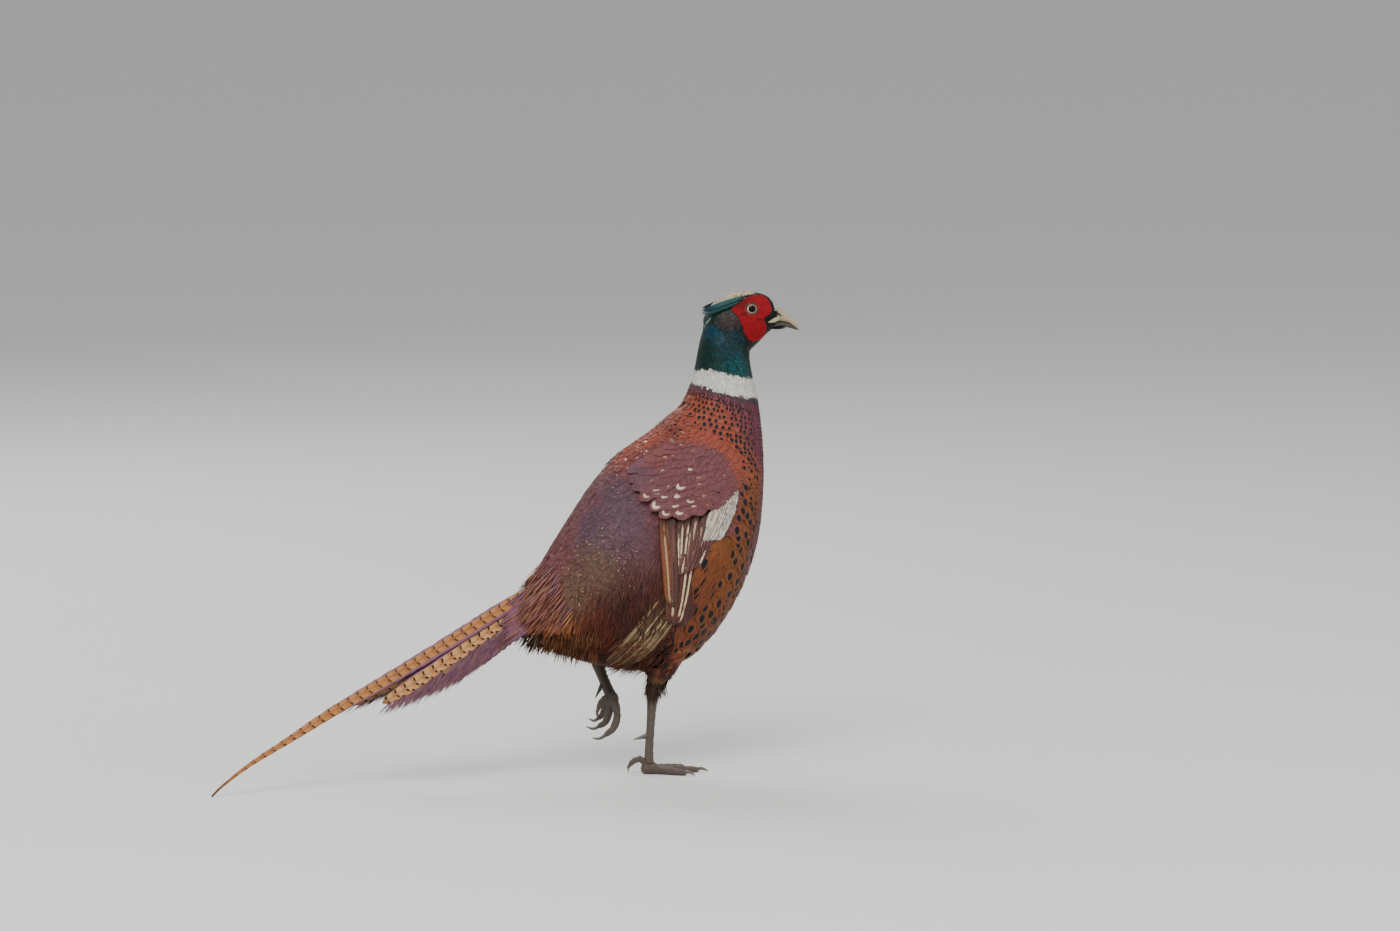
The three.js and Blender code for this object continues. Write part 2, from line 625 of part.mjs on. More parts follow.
leg(RIGHT, STANDING_LEG);
leg(LEFT, RAISED_LEG);

export default group;
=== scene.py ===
"""The looks of a cock common pheasant at life size, walking on its right foot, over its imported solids."""

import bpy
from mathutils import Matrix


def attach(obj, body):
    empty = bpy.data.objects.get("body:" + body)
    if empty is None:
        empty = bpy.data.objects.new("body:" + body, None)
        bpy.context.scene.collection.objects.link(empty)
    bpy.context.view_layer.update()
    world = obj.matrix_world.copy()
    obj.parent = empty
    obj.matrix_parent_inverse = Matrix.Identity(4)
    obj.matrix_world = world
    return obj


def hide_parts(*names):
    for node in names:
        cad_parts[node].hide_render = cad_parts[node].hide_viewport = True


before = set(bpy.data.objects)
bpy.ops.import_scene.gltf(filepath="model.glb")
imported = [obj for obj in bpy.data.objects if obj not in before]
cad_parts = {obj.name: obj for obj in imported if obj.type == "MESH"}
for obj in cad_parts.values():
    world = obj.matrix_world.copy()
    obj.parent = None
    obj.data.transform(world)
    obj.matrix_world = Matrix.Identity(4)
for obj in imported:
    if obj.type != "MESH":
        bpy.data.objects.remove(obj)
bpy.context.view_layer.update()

import logging
import math
from dataclasses import dataclass, replace
from enum import Enum
from typing import Callable, Iterable, Sequence

import bpy
import numpy as np
from mathutils import Vector
from mathutils.bvhtree import BVHTree
from mathutils.kdtree import KDTree

Array = np.ndarray
Rows = Sequence[Sequence[float]]
Piece = bpy.types.Object
Finish = bpy.types.Material
Mesh = bpy.types.Mesh
Socket = bpy.types.NodeSocket
Chance = np.random.Generator
LOG = logging.getLogger("pheasant")
MM = 0.001
RIGHT = -1
LEFT = 1
SIDES = {RIGHT: "right", LEFT: "left"}


# Numbers, curves and surfaces. Lengths are in millimetres until a mesh is made.


def ease(value: Array | float, low: float, high: float) -> Array:
    """A smooth step from 0 at low to 1 at high, or the other way round where low is the larger."""
    t = np.clip((np.asarray(value, float) - low) / (high - low), 0.0, 1.0)
    return t * t * (3.0 - 2.0 * t)


def band(value: Array | float, low: float, high: float, soft: float) -> Array:
    """1 between low and high and 0 outside, with edges that take twice `soft`."""
    return ease(value, low - soft, low + soft) * ease(value, high + soft, high - soft)


def unit(vectors: Array) -> Array:
    """The vectors at length 1, along the last axis."""
    length = np.linalg.norm(vectors, axis=-1, keepdims=True)
    return vectors / np.maximum(length, 1e-9)


def travelled(line: Array) -> Array:
    """How far along a line each of its points lies."""
    return np.concatenate([[0], np.cumsum(np.linalg.norm(np.diff(line, axis=0), axis=1))])


def colour(code: str) -> Array:
    """A colour written as six hexadecimal digits, as linear red, green, blue and 1."""
    values = np.array([int(code[i : i + 2], 16) / 255.0 for i in (0, 2, 4)])
    linear = np.where(values <= 0.04045, values / 12.92, ((values + 0.055) / 1.055) ** 2.4)
    return np.append(linear, 1.0)


class Spline:
    """A smooth curve through rows of numbers: 0 is the first row and 1 the last."""

    def __init__(self, rows: Rows) -> None:
        """Keeps the rows, with one more past each end.

        Args:
            rows: The rows, in order.
        """
        inner = np.array(rows, float)
        self.count = len(inner) - 1
        self.rows = np.vstack([2 * inner[0] - inner[1], inner, 2 * inner[-1] - inner[-2]])

    def __call__(self, t: Array | float) -> Array:
        """The values at t, with one more axis for the row's numbers."""
        place = np.clip(np.asarray(t, float), 0.0, 1.0) * self.count
        i = np.minimum(place.astype(int), self.count - 1)
        w = (place - i)[..., None]
        before, start, end, after = (self.rows[i + k] for k in range(4))
        out, into = 0.5 * (end - before), 0.5 * (after - start)
        cubic = (2 * start - 2 * end + out + into) * w**3
        square = (3 * end - 3 * start - 2 * out - into) * w**2
        return cubic + square + out * w + start


@dataclass(frozen=True)
class Turn:
    """How the head is turned about the upright axis of the neck, more the higher a point lies."""

    axis: float = 70.0
    start: float = 352.0
    end: float = 425.0
    degrees: float = -19.0

    def _rotate(self, points: Array, sign: float) -> Array:
        """The points turned by their height's share of the angle, forwards or back."""
        angle = sign * math.radians(self.degrees) * ease(points[..., 2], self.start, self.end)
        ahead, aside = points[..., 0] - self.axis, points[..., 1]
        x = self.axis + ahead * np.cos(angle) - aside * np.sin(angle)
        y = ahead * np.sin(angle) + aside * np.cos(angle)
        return np.stack([x, y, points[..., 2]], axis=-1)

    def apply(self, points: Array) -> Array:
        """The points as they stand once the head is turned."""
        return self._rotate(np.asarray(points, float), 1.0)

    def undo(self, points: Array) -> Array:
        """The points as they were with the head straight ahead."""
        return self._rotate(np.asarray(points, float), -1.0)


TURN = Turn()


class Loft:
    """The surface of a body through stations; see `on`."""

    def __init__(self, stations: Rows) -> None:
        """Makes the curves of the back, the belly and the width.

        Args:
            stations: Rows of back x, back z, belly x, belly z and half the width.
        """
        self.spline = Spline(stations)

    def on(self, s: Array, angle: Array, lift: Array | float = 0.0) -> Array:
        """Places on the surface.

        Args:
            s: 0 at the first station to 1 at the last.
            angle: From the back, in radians; the left side is positive and the right negative.
            lift: Height over the surface.

        Returns:
            The points, turned with the head.
        """
        s, angle, lift = np.broadcast_arrays(s, angle, lift)
        row = self.spline(s)
        back, belly, half = row[..., 0:2], row[..., 2:4], row[..., 4]
        middle = (back + belly) / 2
        rise = back - middle
        tall = np.linalg.norm(rise, axis=-1)
        up = rise * ((tall + lift) / tall * np.cos(angle))[..., None]
        aside = np.sin(angle) * (half + lift)
        flat = middle + up
        return TURN.apply(np.stack([flat[..., 0], aside, flat[..., 1]], axis=-1))


class Limb:
    """A tube of changing thickness along a line, such as a thigh; see `on`."""

    def __init__(self, line: Rows, radii: Sequence[float], ahead: Sequence[float] = (1, 0, 0)) -> None:
        """Keeps the middle line and the radii.

        Args:
            line: Points on the middle line.
            radii: The radius at each point.
            ahead: The direction that angle 0 faces.
        """
        self.spline = Spline(line)
        self.radius = Spline([[r] for r in radii])
        self.ahead = np.array(ahead, float)

    def on(self, s: Array, angle: Array, lift: Array | float = 0.0) -> Array:
        """Places on the tube, as `Loft.on` gives them; s is 0 at the line's first point."""
        s, angle, lift = np.broadcast_arrays(s, angle, lift)
        step = 1e-3
        way = unit(self.spline(s + step) - self.spline(s - step))
        front = unit(self.ahead - way * (way @ self.ahead)[..., None])
        side = np.cross(way, front)
        radius = (self.radius(s)[..., 0] + lift)[..., None]
        return self.spline(s) + radius * (np.cos(angle)[..., None] * front + np.sin(angle)[..., None] * side)


TRUNK = Loft(
    [
        [-131, 170, -124, 138, 17],  # root of the tail
        [-119, 191, -105, 124, 34],
        [-99, 223, -76, 112, 48],
        [-79, 253, -42, 103, 56],
        [-59, 281, -3, 99, 60],
        [-33, 308, 38, 112, 61],
        [-2, 328, 77, 158, 57],
        [15, 341, 99, 210, 51],  # shoulders
        [26.5, 350, 107, 264, 43],
        [33, 360, 107, 314, 36],
        [38, 371, 102, 354, 30],  # foot of the collar
        [42, 385, 97, 376, 26.5],
        [45, 402, 94, 394, 23.5],
        [50, 421, 94, 410, 20],
        [58, 438, 92, 424, 13],
    ]
)
HEAD = Loft(
    [
        [50, 432, 50, 418, 6],
        [56, 443, 56, 406, 14],
        [66, 451.5, 66, 400, 18.5],
        [78, 456.5, 78, 397, 20],
        [88.6, 458.5, 88.6, 398, 19.5],
        [97, 457.5, 97, 403, 17.5],
        [106.5, 455, 106.5, 413, 14.5],
        [114, 450.5, 114, 420.2, 11],
        [119, 441, 119, 423, 7.5],
    ]
)
THIGHS = {
    RIGHT: Limb(
        [[12, -22, 138], [7, -22, 124], [1, -18, 108], [-2.5, -11, 92], [-4.7, -6, 78]],
        [20, 19, 15, 9.5, 6],
    ),
    LEFT: Limb([[8, 22, 138], [-10, 28, 128], [-30, 40, 121], [-44, 48, 115]], [20, 18, 12, 7.5]),
}


# Shader nodes


class Value:
    """A number that changes over a surface; Python's operators add its Math nodes."""

    def __init__(self, graph: "Graph", socket: Socket) -> None:
        """Wraps an output socket of a graph's node."""
        self.graph = graph
        self.socket = socket

    def math(self, operation: str, *others: "Value | float") -> "Value":
        """A Math node on this value and the others."""
        return self.graph.math(operation, self, *others)

    def __add__(self, other: "Value | float") -> "Value":
        """The sum."""
        return self.math("ADD", other)

    def __sub__(self, other: "Value | float") -> "Value":
        """The difference."""
        return self.math("SUBTRACT", other)

    def __rsub__(self, other: float) -> "Value":
        """A number less this value."""
        return self.graph.math("SUBTRACT", other, self)

    def __mul__(self, other: "Value | float") -> "Value":
        """The product."""
        return self.math("MULTIPLY", other)

    def __truediv__(self, other: "Value | float") -> "Value":
        """The quotient."""
        return self.math("DIVIDE", other)

    __radd__ = __add__
    __rmul__ = __mul__

    def size(self) -> "Value":
        """Without its sign."""
        return self.math("ABSOLUTE")

    def ease(self, low: float, high: float) -> "Value":
        """A smooth step from 0 at low to 1 at high, as the function of that name."""
        start, end = min(low, high), max(low, high)
        inputs = {"Value": self, "From Min": start, "From Max": end}
        node = self.graph.node("MapRange", {"interpolation_type": "SMOOTHSTEP"}, inputs)
        rising = self.graph.value(node.outputs["Result"])
        return rising if low < high else 1.0 - rising


class Graph:
    """The nodes of one material, ending in a Principled shader."""

    def __init__(self, name: str) -> None:
        """Makes the material with its shader.

        Args:
            name: The material's name.
        """
        self.material = bpy.data.materials.new(name)
        self.material.use_nodes = True
        self.tree = self.material.node_tree
        self.shader = self.tree.nodes["Principled BSDF"]

    def node(self, kind: str, settings: dict | None = None, inputs: dict | None = None) -> bpy.types.Node:
        """Adds a node.

        Args:
            kind: Its type without "ShaderNode".
            settings: Its own settings, set first.
            inputs: Values, numbers, colours or sockets by input name or index.

        Returns:
            The node.
        """
        node = self.tree.nodes.new("ShaderNode" + kind)
        for key, value in (settings or {}).items():
            setattr(node, key, value)
        for key, value in (inputs or {}).items():
            self.feed(node.inputs[key], value)
        return node

    def feed(self, socket: Socket, value: object) -> None:
        """Links a value or socket to an input, or sets the input to a number or colour."""
        if isinstance(value, Value):
            self.tree.links.new(value.socket, socket)
        elif isinstance(value, Socket):
            self.tree.links.new(value, socket)
        else:
            socket.default_value = tuple(value) if isinstance(value, np.ndarray) else value

    def value(self, socket: Socket) -> Value:
        """Wraps a socket."""
        return Value(self, socket)

    def math(self, operation: str, *terms: Value | float) -> Value:
        """A Math node on up to three terms."""
        node = self.node("Math", {"operation": operation}, dict(enumerate(terms)))
        return self.value(node.outputs[0])

    def parts(self, name: str) -> tuple[Value, Value, Value]:
        """The three numbers of a mesh's vector attribute."""
        read = self.node("Attribute", {"attribute_name": name})
        split = self.node("SeparateXYZ", None, {0: read.outputs["Vector"]})
        return tuple(self.value(out) for out in split.outputs)

    def tint(self, name: str) -> Socket:
        """A mesh's colour attribute."""
        return self.node("Attribute", {"attribute_name": name}).outputs["Color"]

    def mix(self, share: Value | float, first: object, second: object, how: str = "MIX") -> Socket:
        """The first colour with a share of the second laid over it."""
        settings = {"data_type": "RGBA", "blend_type": how, "clamp_factor": True}
        return self.node("Mix", settings, {0: share, 6: first, 7: second}).outputs[2]

    def darken(self, share: Value | float, base: object, tint: object, code: str) -> Socket:
        """The base colour with a share of the tint, multiplied by another colour, laid over it."""
        return self.mix(share, base, self.mix(1.0, tint, colour(code), "MULTIPLY"))

    def place(self, scale: Sequence[float] = (1, 1, 1)) -> Socket:
        """Object coordinates, stretched by a scale on each axis."""
        at = self.node("TexCoord").outputs["Object"]
        return self.node("Mapping", None, {"Vector": at, "Scale": scale}).outputs[0]

    def vector(self, x: Value | float, y: Value | float, z: Value | float) -> Socket:
        """The three numbers as one vector."""
        return self.node("CombineXYZ", None, {0: x, 1: y, 2: z}).outputs[0]

    def cloud(self, scale: float, detail: float = 3.0, at: Socket | None = None) -> Value:
        """Soft noise from 0 to 1, of so many waves a metre."""
        inputs = {"Vector": at or self.place(), "Scale": scale, "Detail": detail}
        return self.value(self.node("TexNoise", None, inputs).outputs["Fac"])

    def cells(self, scale: float, feature: str = "F1") -> Value:
        """Distances to scattered points, or to the edges between their cells."""
        node = self.node("TexVoronoi", {"feature": feature}, {"Vector": self.place(), "Scale": scale})
        return self.value(node.outputs["Distance"])

    def finish(self, base: object, bump: Value | None = None, depth: float = 0.0, **inputs: object) -> Finish:
        """Feeds the shader.

        Args:
            base: The base colour.
            bump: Height from 0 to 1, or nothing.
            depth: What a height of 1 stands for, in metres.
            inputs: Other inputs by name, with _ for a space.

        Returns:
            The material.
        """
        self.feed(self.shader.inputs["Base Color"], base)
        for name, value in inputs.items():
            self.feed(self.shader.inputs[name.replace("_", " ")], value)
        if bump is not None:
            node = self.node("Bump", None, {"Strength": 1.0, "Distance": depth, "Height": bump})
            self.feed(self.shader.inputs["Normal"], node.outputs[0])
        return self.material


@dataclass(frozen=True)
class Plumage:
    """The finish of body feathers. Its pattern follows each vane by attributes of the mesh: lay (along,
    across, chance), form (rim, spot, crescent), grain (streak, fleck, gloss), tint and mark."""

    name: str = "plumage"
    ink: str = "0c0b14"
    rough: float = 0.62

    def build(self) -> Finish:
        """Makes the material."""
        g = Graph(self.name)
        along, across, chance = g.parts("lay")
        rim, spot, crescent = g.parts("form")
        streak, fleck, gloss = g.parts("grain")
        tint, mark = g.tint("tint"), g.tint("mark")
        aside = across.size()
        past = g.math("MAXIMUM", (along - 0.62) / 0.38, 0.0)
        reach = g.math("SQRT", aside * aside + past * past)
        grime = g.cloud(800.0, 4.0)
        barbs = g.cloud(3.0, 3.0, g.vector(aside * 3.0 - along * 8.0, along * 1.5, chance * 30.0))
        soft = g.darken(barbs.ease(0.38, 0.66) * 0.5, tint, tint, "787276")
        worn = g.darken(grime.ease(0.35, 0.75) * 0.35, soft, tint, "8a8488")
        # Painted shade: each vane is darkened towards its root, where it lies under the feathers above it.
        deep = g.darken(along.ease(0.5, 0.1) * 0.3, worn, tint, "4a4448")
        edged = g.darken(reach.ease(0.72, 0.98) * rim, deep, tint, "4a4248")
        uneven = (grime - 0.5) * 0.3
        drop_wide = across / (spot * (1.35 - along) * 0.95 + 0.001)
        drop_long = (along - 0.8) / (spot * 0.2 + 0.001)
        drop = g.math("SQRT", drop_wide * drop_wide + drop_long * drop_long) + uneven
        inked = g.mix(drop.ease(1.12, 0.85), edged, colour(self.ink))
        line = aside.ease(0.34, 0.12) * streak * along.ease(0.2, 0.5)
        shafted = g.mix(line, inked, mark)
        ring = reach / (crescent * 0.5 + 0.5) + uneven * 0.3
        inner = ring - chance * 0.36
        curve = inner.ease(0.2, 0.34) * ring.ease(0.84, 0.72) * along.ease(0.62, 0.74)
        moon = g.mix(curve * crescent.ease(0.1, 0.3), shafted, mark)
        specks = g.cloud(620.0, 1.0).ease(0.66, 0.71) * along.ease(0.6, 0.75)
        final = g.mix(specks * fleck, moon, mark)
        height = barbs * 0.7 + grime * 0.4 + aside.ease(0.1, 0.02) * 0.5
        dull = self.rough + grime * 0.1
        rough = dull - gloss * 0.3
        metal = gloss * 0.5
        return g.finish(final, height, 0.00016, Roughness=rough, Metallic=metal, Specular_IOR_Level=0.18)


@dataclass(frozen=True)
class UnderCoat:
    """The skin under the feathers, which carries the same markings, painted much darker as the shade deep in
    the coat.
    """

    name: str = "under_coat"

    def build(self) -> Finish:
        """Makes the material."""
        g = Graph(self.name)
        grime = g.cloud(700.0)
        # Painted shade: the markings are multiplied down to about a tenth, for the depth under the feathers.
        dark = g.mix(1.0, g.tint("tint"), colour("5a5456"), "MULTIPLY")
        return g.finish(g.mix(grime * 0.5, dark, colour("1c1516")), grime, 0.0004, Roughness=0.85)


@dataclass(frozen=True)
class Flight:
    """The finish of wing feathers: maroon-brown with pale streaks and chevrons. lay holds (along, across,
    chance), form (streak, chevrons, pale edge) and grain (mottling, where the streak lies, gloss)."""

    name: str = "wing_vane"

    def build(self) -> Finish:
        """Makes the material."""
        g = Graph(self.name)
        along, across, chance = g.parts("lay")
        streak, chevron, pale = g.parts("form")
        mottle, aim, gloss = g.parts("grain")
        tint, mark = g.tint("tint"), g.tint("mark")
        aside = across.size()
        grime = g.cloud(420.0, 4.0)
        barbs = g.math("SINE", (along * 60.0 - aside * 14.0) * math.tau)
        lined = g.darken(barbs.ease(-0.6, 1.0) * 0.28, tint, tint, "8a8488")
        # Painted shade: each wing feather is darkened towards its root, where it lies under the layers above.
        deep = g.darken(along.ease(0.5, 0.05) * 0.6, lined, tint, "4a4444")
        shade = g.darken(aside.ease(0.7, 1.0) * 0.5, deep, tint, "5c5054")
        drift = (grime - 0.5) * 0.35
        beside = (across - aim + drift).size()
        gate = g.cloud(1.0, 1.0, g.vector(along * 4.0 + chance * 40.0, chance * 23.0, 0.0)).ease(0.36, 0.46)
        line = beside.ease(0.27, 0.12) * streak * gate * along.ease(0.08, 0.3) * along.ease(1.0, 0.9)
        streaked = g.mix(line, shade, mark)
        vees = g.math("SINE", (along * 17.0 - aside * 2.2 + chance * 4.0) * math.tau)
        vee = vees.ease(0.35, 0.75) * chevron * aside.ease(0.85, 0.6)
        veed = g.mix(vee, streaked, mark)
        edged = g.mix(aside.ease(0.78, 0.92) * pale, veed, mark)
        flecked = g.mix(g.cloud(900.0, 2.0).ease(0.5, 0.68) * mottle, edged, mark)
        shaft = aside.ease(0.07, 0.03)
        final = g.darken(shaft * 0.6, flecked, tint, "40302c")
        height = barbs * 0.3 + grime * 0.4 + shaft
        rough = 0.66 + grime * 0.1 - gloss * 0.2
        return g.finish(final, height, 0.00015, Roughness=rough, Specular_IOR_Level=0.2)


@dataclass(frozen=True)
class TailVane:
    """The finish of the tail feathers: buff with dark bars and mauve fringes. lay holds (along, across,
    chance), form (width of the fringe, strength of the bars, darkness of the tip) and grain (maroon,
    paleness, how many bars)."""

    name: str = "tail_vane"
    tan: str = "b2763c"
    pale: str = "cdb48a"
    mauve: str = "8c6078"
    bar: str = "2a1a14"
    rufous: str = "93542f"
    maroon: str = "4a2428"

    def build(self) -> Finish:
        """Makes the material."""
        g = Graph(self.name)
        along, across, chance = g.parts("lay")
        fringe, strength, dark = g.parts("form")
        maroon, paleness, count = g.parts("grain")
        bars = along * count
        aside = across.size()
        grime = g.cloud(260.0, 5.0)
        barbs = g.math("SINE", (bars * 26.0 - aside * 12.0) * math.tau)
        ground = g.mix(paleness * 0.75 + (grime - 0.5) * 0.5, colour(self.tan), colour(self.pale))
        phase = g.math("FRACT", bars + aside * 0.24 + (grime - 0.5) * 0.2 + chance)
        broad = phase.ease(0.12, 0.2) * phase.ease(0.62, 0.42)
        banded = g.mix(broad * 0.55 * strength, ground, colour(self.rufous))
        narrow = phase.ease(0.0, 0.05) * phase.ease(0.26, 0.19) * aside.ease(0.06, 0.16)
        barred = g.mix(narrow * aside.ease(0.7, 0.58) * strength, banded, colour(self.bar))
        outer = (aside + fringe - 1.0 + (grime - 0.5) * 0.3).ease(-0.06, 0.12)
        fringed = g.mix(outer, barred, g.mix(grime, colour(self.mauve), colour("6d4756")))
        stained = g.mix(maroon, fringed, colour(self.maroon))
        shaft = aside.ease(0.07, 0.03)
        ended = g.mix(along.ease(0.9, 1.0) * dark, stained, colour("2c2320"))
        lined = g.darken(barbs.ease(-0.4, 1.0) * 0.2, ended, ended, "857a7c")
        final = g.mix(shaft * 0.55, lined, colour("5b3a22"))
        height = barbs * 0.3 + grime * 0.5 + shaft
        return g.finish(final, height, 0.0002, Roughness=0.66 + grime * 0.12, Specular_IOR_Level=0.2)


@dataclass(frozen=True)
class FaceSkin:
    """The red skin of the face: grainy, with dark specks, and greyer on the lids."""

    name: str = "red_skin"

    def build(self) -> Finish:
        """Makes the material."""
        g = Graph(self.name)
        grain = g.cells(1100.0)
        folds = g.cloud(220.0, 4.0)
        red = g.tint("tint")
        deep = g.darken(grain.ease(0.25, 0.75) * 0.55, red, red, "7c2a2e")
        worn = g.mix(folds.ease(0.3, 0.7) * 0.4, deep, colour("6d0410"))
        specks = g.cells(330.0).ease(0.2, 0.1) * g.cloud(90.0).ease(0.5, 0.62)
        final = g.mix(specks * 0.55, worn, colour("24080a"))
        return g.finish(final, 1.0 - grain, 0.0003, Roughness=0.55 + folds * 0.2, Specular_IOR_Level=0.14)


@dataclass(frozen=True)
class EyeFinish:
    """The wet eye: black pupil and pale ring. gaze holds (millimetres off the axis, 0, 0)."""

    name: str = "wet_eye"
    pupil: float = 3.55
    ring: str = "e8dcb8"

    def build(self) -> Finish:
        """Makes the material."""
        g = Graph(self.name)
        away, turn, _ = g.parts("gaze")
        rays = g.math("SINE", turn * 46.0) * 0.5 + 0.5
        ring = g.mix(rays * 0.25, colour(self.ring), colour("b99b5a"))
        rimmed = g.mix(away.ease(3.9, 4.9) * 0.8, ring, colour("3a261a"))
        final = g.mix(away.ease(self.pupil + 0.15, self.pupil - 0.1), rimmed, colour("020202"))
        return g.finish(final, Roughness=0.4, Specular_IOR_Level=0.1, Coat_Weight=0.06, Coat_Roughness=0.03)


@dataclass(frozen=True)
class Horn:
    """The finish of the bill, or of the claws and spurs. shade holds (darkness, 0, 0)."""

    name: str
    light: str
    dark: str

    def build(self) -> Finish:
        """Makes the material."""
        g = Graph(self.name)
        shade, _, _ = g.parts("shade")
        streaks = g.cloud(1.0, 5.0, g.place((160.0, 700.0, 700.0)))
        grime = g.cloud(500.0, 3.0)
        base = g.mix(shade + (streaks - 0.5) * 0.45, colour(self.light), colour(self.dark))
        final = g.mix(grime.ease(0.5, 0.8) * 0.3, base, colour(self.dark))
        return g.finish(final, streaks, 0.0002, Roughness=0.34 + grime * 0.2, Coat_Weight=0.15)


@dataclass(frozen=True)
class ScalySkin:
    """The skin of the legs and feet. shade holds (groove, underside, 0)."""

    name: str = "leg_scales"

    def build(self) -> Finish:
        """Makes the material."""
        g = Graph(self.name)
        groove, under, _ = g.parts("shade")
        grime = g.cloud(260.0, 5.0)
        warm = g.mix(grime, colour("594c40"), colour("382e27"))
        cells = g.cells(900.0, "DISTANCE_TO_EDGE")
        netted = g.mix(cells.ease(0.12, 0.02) * 0.35, warm, colour("382e27"))
        padded = g.mix(under * 0.5, netted, colour("50483d"))
        final = g.mix(groove * 0.75, padded, colour("362b25"))
        height = cells.ease(0.0, 0.2) + grime * 0.5
        return g.finish(final, height, 0.00018, Roughness=0.55 + grime * 0.15)


# Meshes


def only(*objects: Piece) -> None:
    """Selects these objects alone and makes the first one active."""
    bpy.ops.object.select_all(action="DESELECT")
    for obj in objects:
        obj.select_set(True)
    bpy.context.view_layer.objects.active = objects[0]


def with_modifier(obj: Piece, kind: str, **settings: object) -> None:
    """Adds a modifier to a piece and applies it."""
    only(obj)
    modifier = obj.modifiers.new(kind.title(), kind)
    for key, value in settings.items():
        setattr(modifier, key, value)
    bpy.ops.object.modifier_apply(modifier=modifier.name)


def settle(obj: Piece) -> Piece:
    """Puts a piece's place in its mesh, and shades it smooth."""
    only(obj)
    bpy.ops.object.transform_apply(location=True, rotation=True, scale=True)
    bpy.ops.object.shade_smooth()
    return obj


def copy_of(name: str, *nodes: str) -> Piece:
    """A merged copy of the named solids, as one new piece."""
    copies = []
    for node in nodes:
        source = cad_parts[node]
        twin = bpy.data.objects.new(name, source.data.copy())
        bpy.context.scene.collection.objects.link(twin)
        twin.data.materials.clear()
        copies.append(twin)
    only(*copies)
    if len(copies) > 1:
        bpy.ops.object.join()
    piece = bpy.context.view_layer.objects.active
    piece.name = name
    bpy.ops.object.mode_set(mode="EDIT")
    bpy.ops.mesh.select_all(action="SELECT")
    bpy.ops.mesh.remove_doubles(threshold=1e-6)
    bpy.ops.object.mode_set(mode="OBJECT")
    return piece


def coordinates(mesh: Mesh) -> Array:
    """A mesh's vertices in millimetres."""
    flat = np.empty(len(mesh.vertices) * 3)
    mesh.vertices.foreach_get("co", flat)
    return flat.reshape(-1, 3) / MM


def reshape(mesh: Mesh, points: Array) -> None:
    """Moves a mesh's vertices to points in millimetres."""
    mesh.vertices.foreach_set("co", (points * MM).ravel())
    mesh.update()


def normals(mesh: Mesh) -> Array:
    """A mesh's vertex normals."""
    flat = np.empty(len(mesh.vertices) * 3)
    mesh.vertex_normals.foreach_get("vector", flat)
    return flat.reshape(-1, 3)


def paint(mesh: Mesh, name: str, values: Array) -> None:
    """Gives a mesh a vector or colour attribute, one row for each vertex."""
    kind, slot = ("FLOAT_COLOR", "color") if values.shape[1] == 4 else ("FLOAT_VECTOR", "vector")
    layer = mesh.attributes.new(name, kind, "POINT")
    layer.data.foreach_set(slot, values.astype(np.float32).ravel())


def shade(mesh: Mesh, first: Array, second: Array | float = 0.0) -> None:
    """Paints the two numbers that horn and scaly skin read."""
    paint(mesh, "shade", np.stack(np.broadcast_arrays(first, second, 0.0), axis=-1))


def adopt(obj: Piece, material: Finish, slot: str, *nodes: str) -> None:
    """Dresses a piece in its material, hangs it on the root and hides the solids that it stands for."""
    obj.data.materials.clear()
    obj.data.materials.append(material)
    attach(obj, "root")
    if nodes:
        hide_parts(*nodes)
    obj.data.calc_loop_triangles()
    LOG.info("%s: %d triangles", obj.name, len(obj.data.loop_triangles))


# Feathers as arrays


def swell(u: Array, root: float, full: float) -> Array:
    """Width that grows from `root` to 1, which it reaches at `full` of the way along."""
    return root + (1 - root) * np.sin(np.minimum(u / full, 1) * math.pi / 2)


def ending(u: Array, start: float) -> Array:
    """0 up to `start` of the way along and 1 at the tip."""
    return np.clip((u - start) / (1 - start), 0, 1)


def rounded(u: Array) -> Array:
    """The outline of a body feather: broad, with a round tip."""
    return swell(u, 0.45, 0.6) * np.sqrt(1 - 0.97 * ending(u, 0.6) ** 2)


def strand(u: Array) -> Array:
    """The outline of a loose, hair-like feather, drawn out to a fine tip."""
    return swell(u, 0.6, 0.4) * (1 - 0.93 * ending(u, 0.3) ** 1.3)


def quill(u: Array) -> Array:
    """The outline of a flight feather: nearly even in width, with a pointed, rounded tip."""
    return swell(u, 0.5, 0.4) * np.sqrt(1 - 0.98 * ending(u, 0.72) ** 2.4)


THREE = (-1.0, 0.0, 1.0)
FIVE = (-1.0, -0.55, 0.0, 0.55, 1.0)
SEVEN = (-1.0, -0.7, -0.35, 0.0, 0.35, 0.7, 1.0)


@dataclass(frozen=True)
class Cut:
    """The form of a vane.

    Attributes:
        outline: Width along the feather as a share of the widest.
        thick: Thickness at the shaft.
        cup: How far the edges drop, as a share of half the width.
        ragged: How uneven the edges are, as a share of half the width.
        even: How far the shading follows the skin and not the feather's own edges, from 0 to 1.
        columns: The points across it.
    """

    outline: Callable[[Array], Array]
    thick: float = 0.22
    cup: float = 0.07
    ragged: float = 0.08
    even: float = 0.0
    columns: tuple[float, ...] = FIVE


BODY_CUT = Cut(rounded, 0.1, 0.02, 0.1, 0.8)
HAIR_CUT = Cut(strand, 0.1, 0.3, 0.25, 0.6, THREE)
FINE_CUT = Cut(strand, 0.07, 0.1, 0.25, 0.9, THREE)
FRINGE_CUT = Cut(strand, 0.12, 0.2, 0.2, columns=THREE)
WING_CUT = Cut(quill, 0.4, 0.06, 0.06, 0.3, SEVEN)


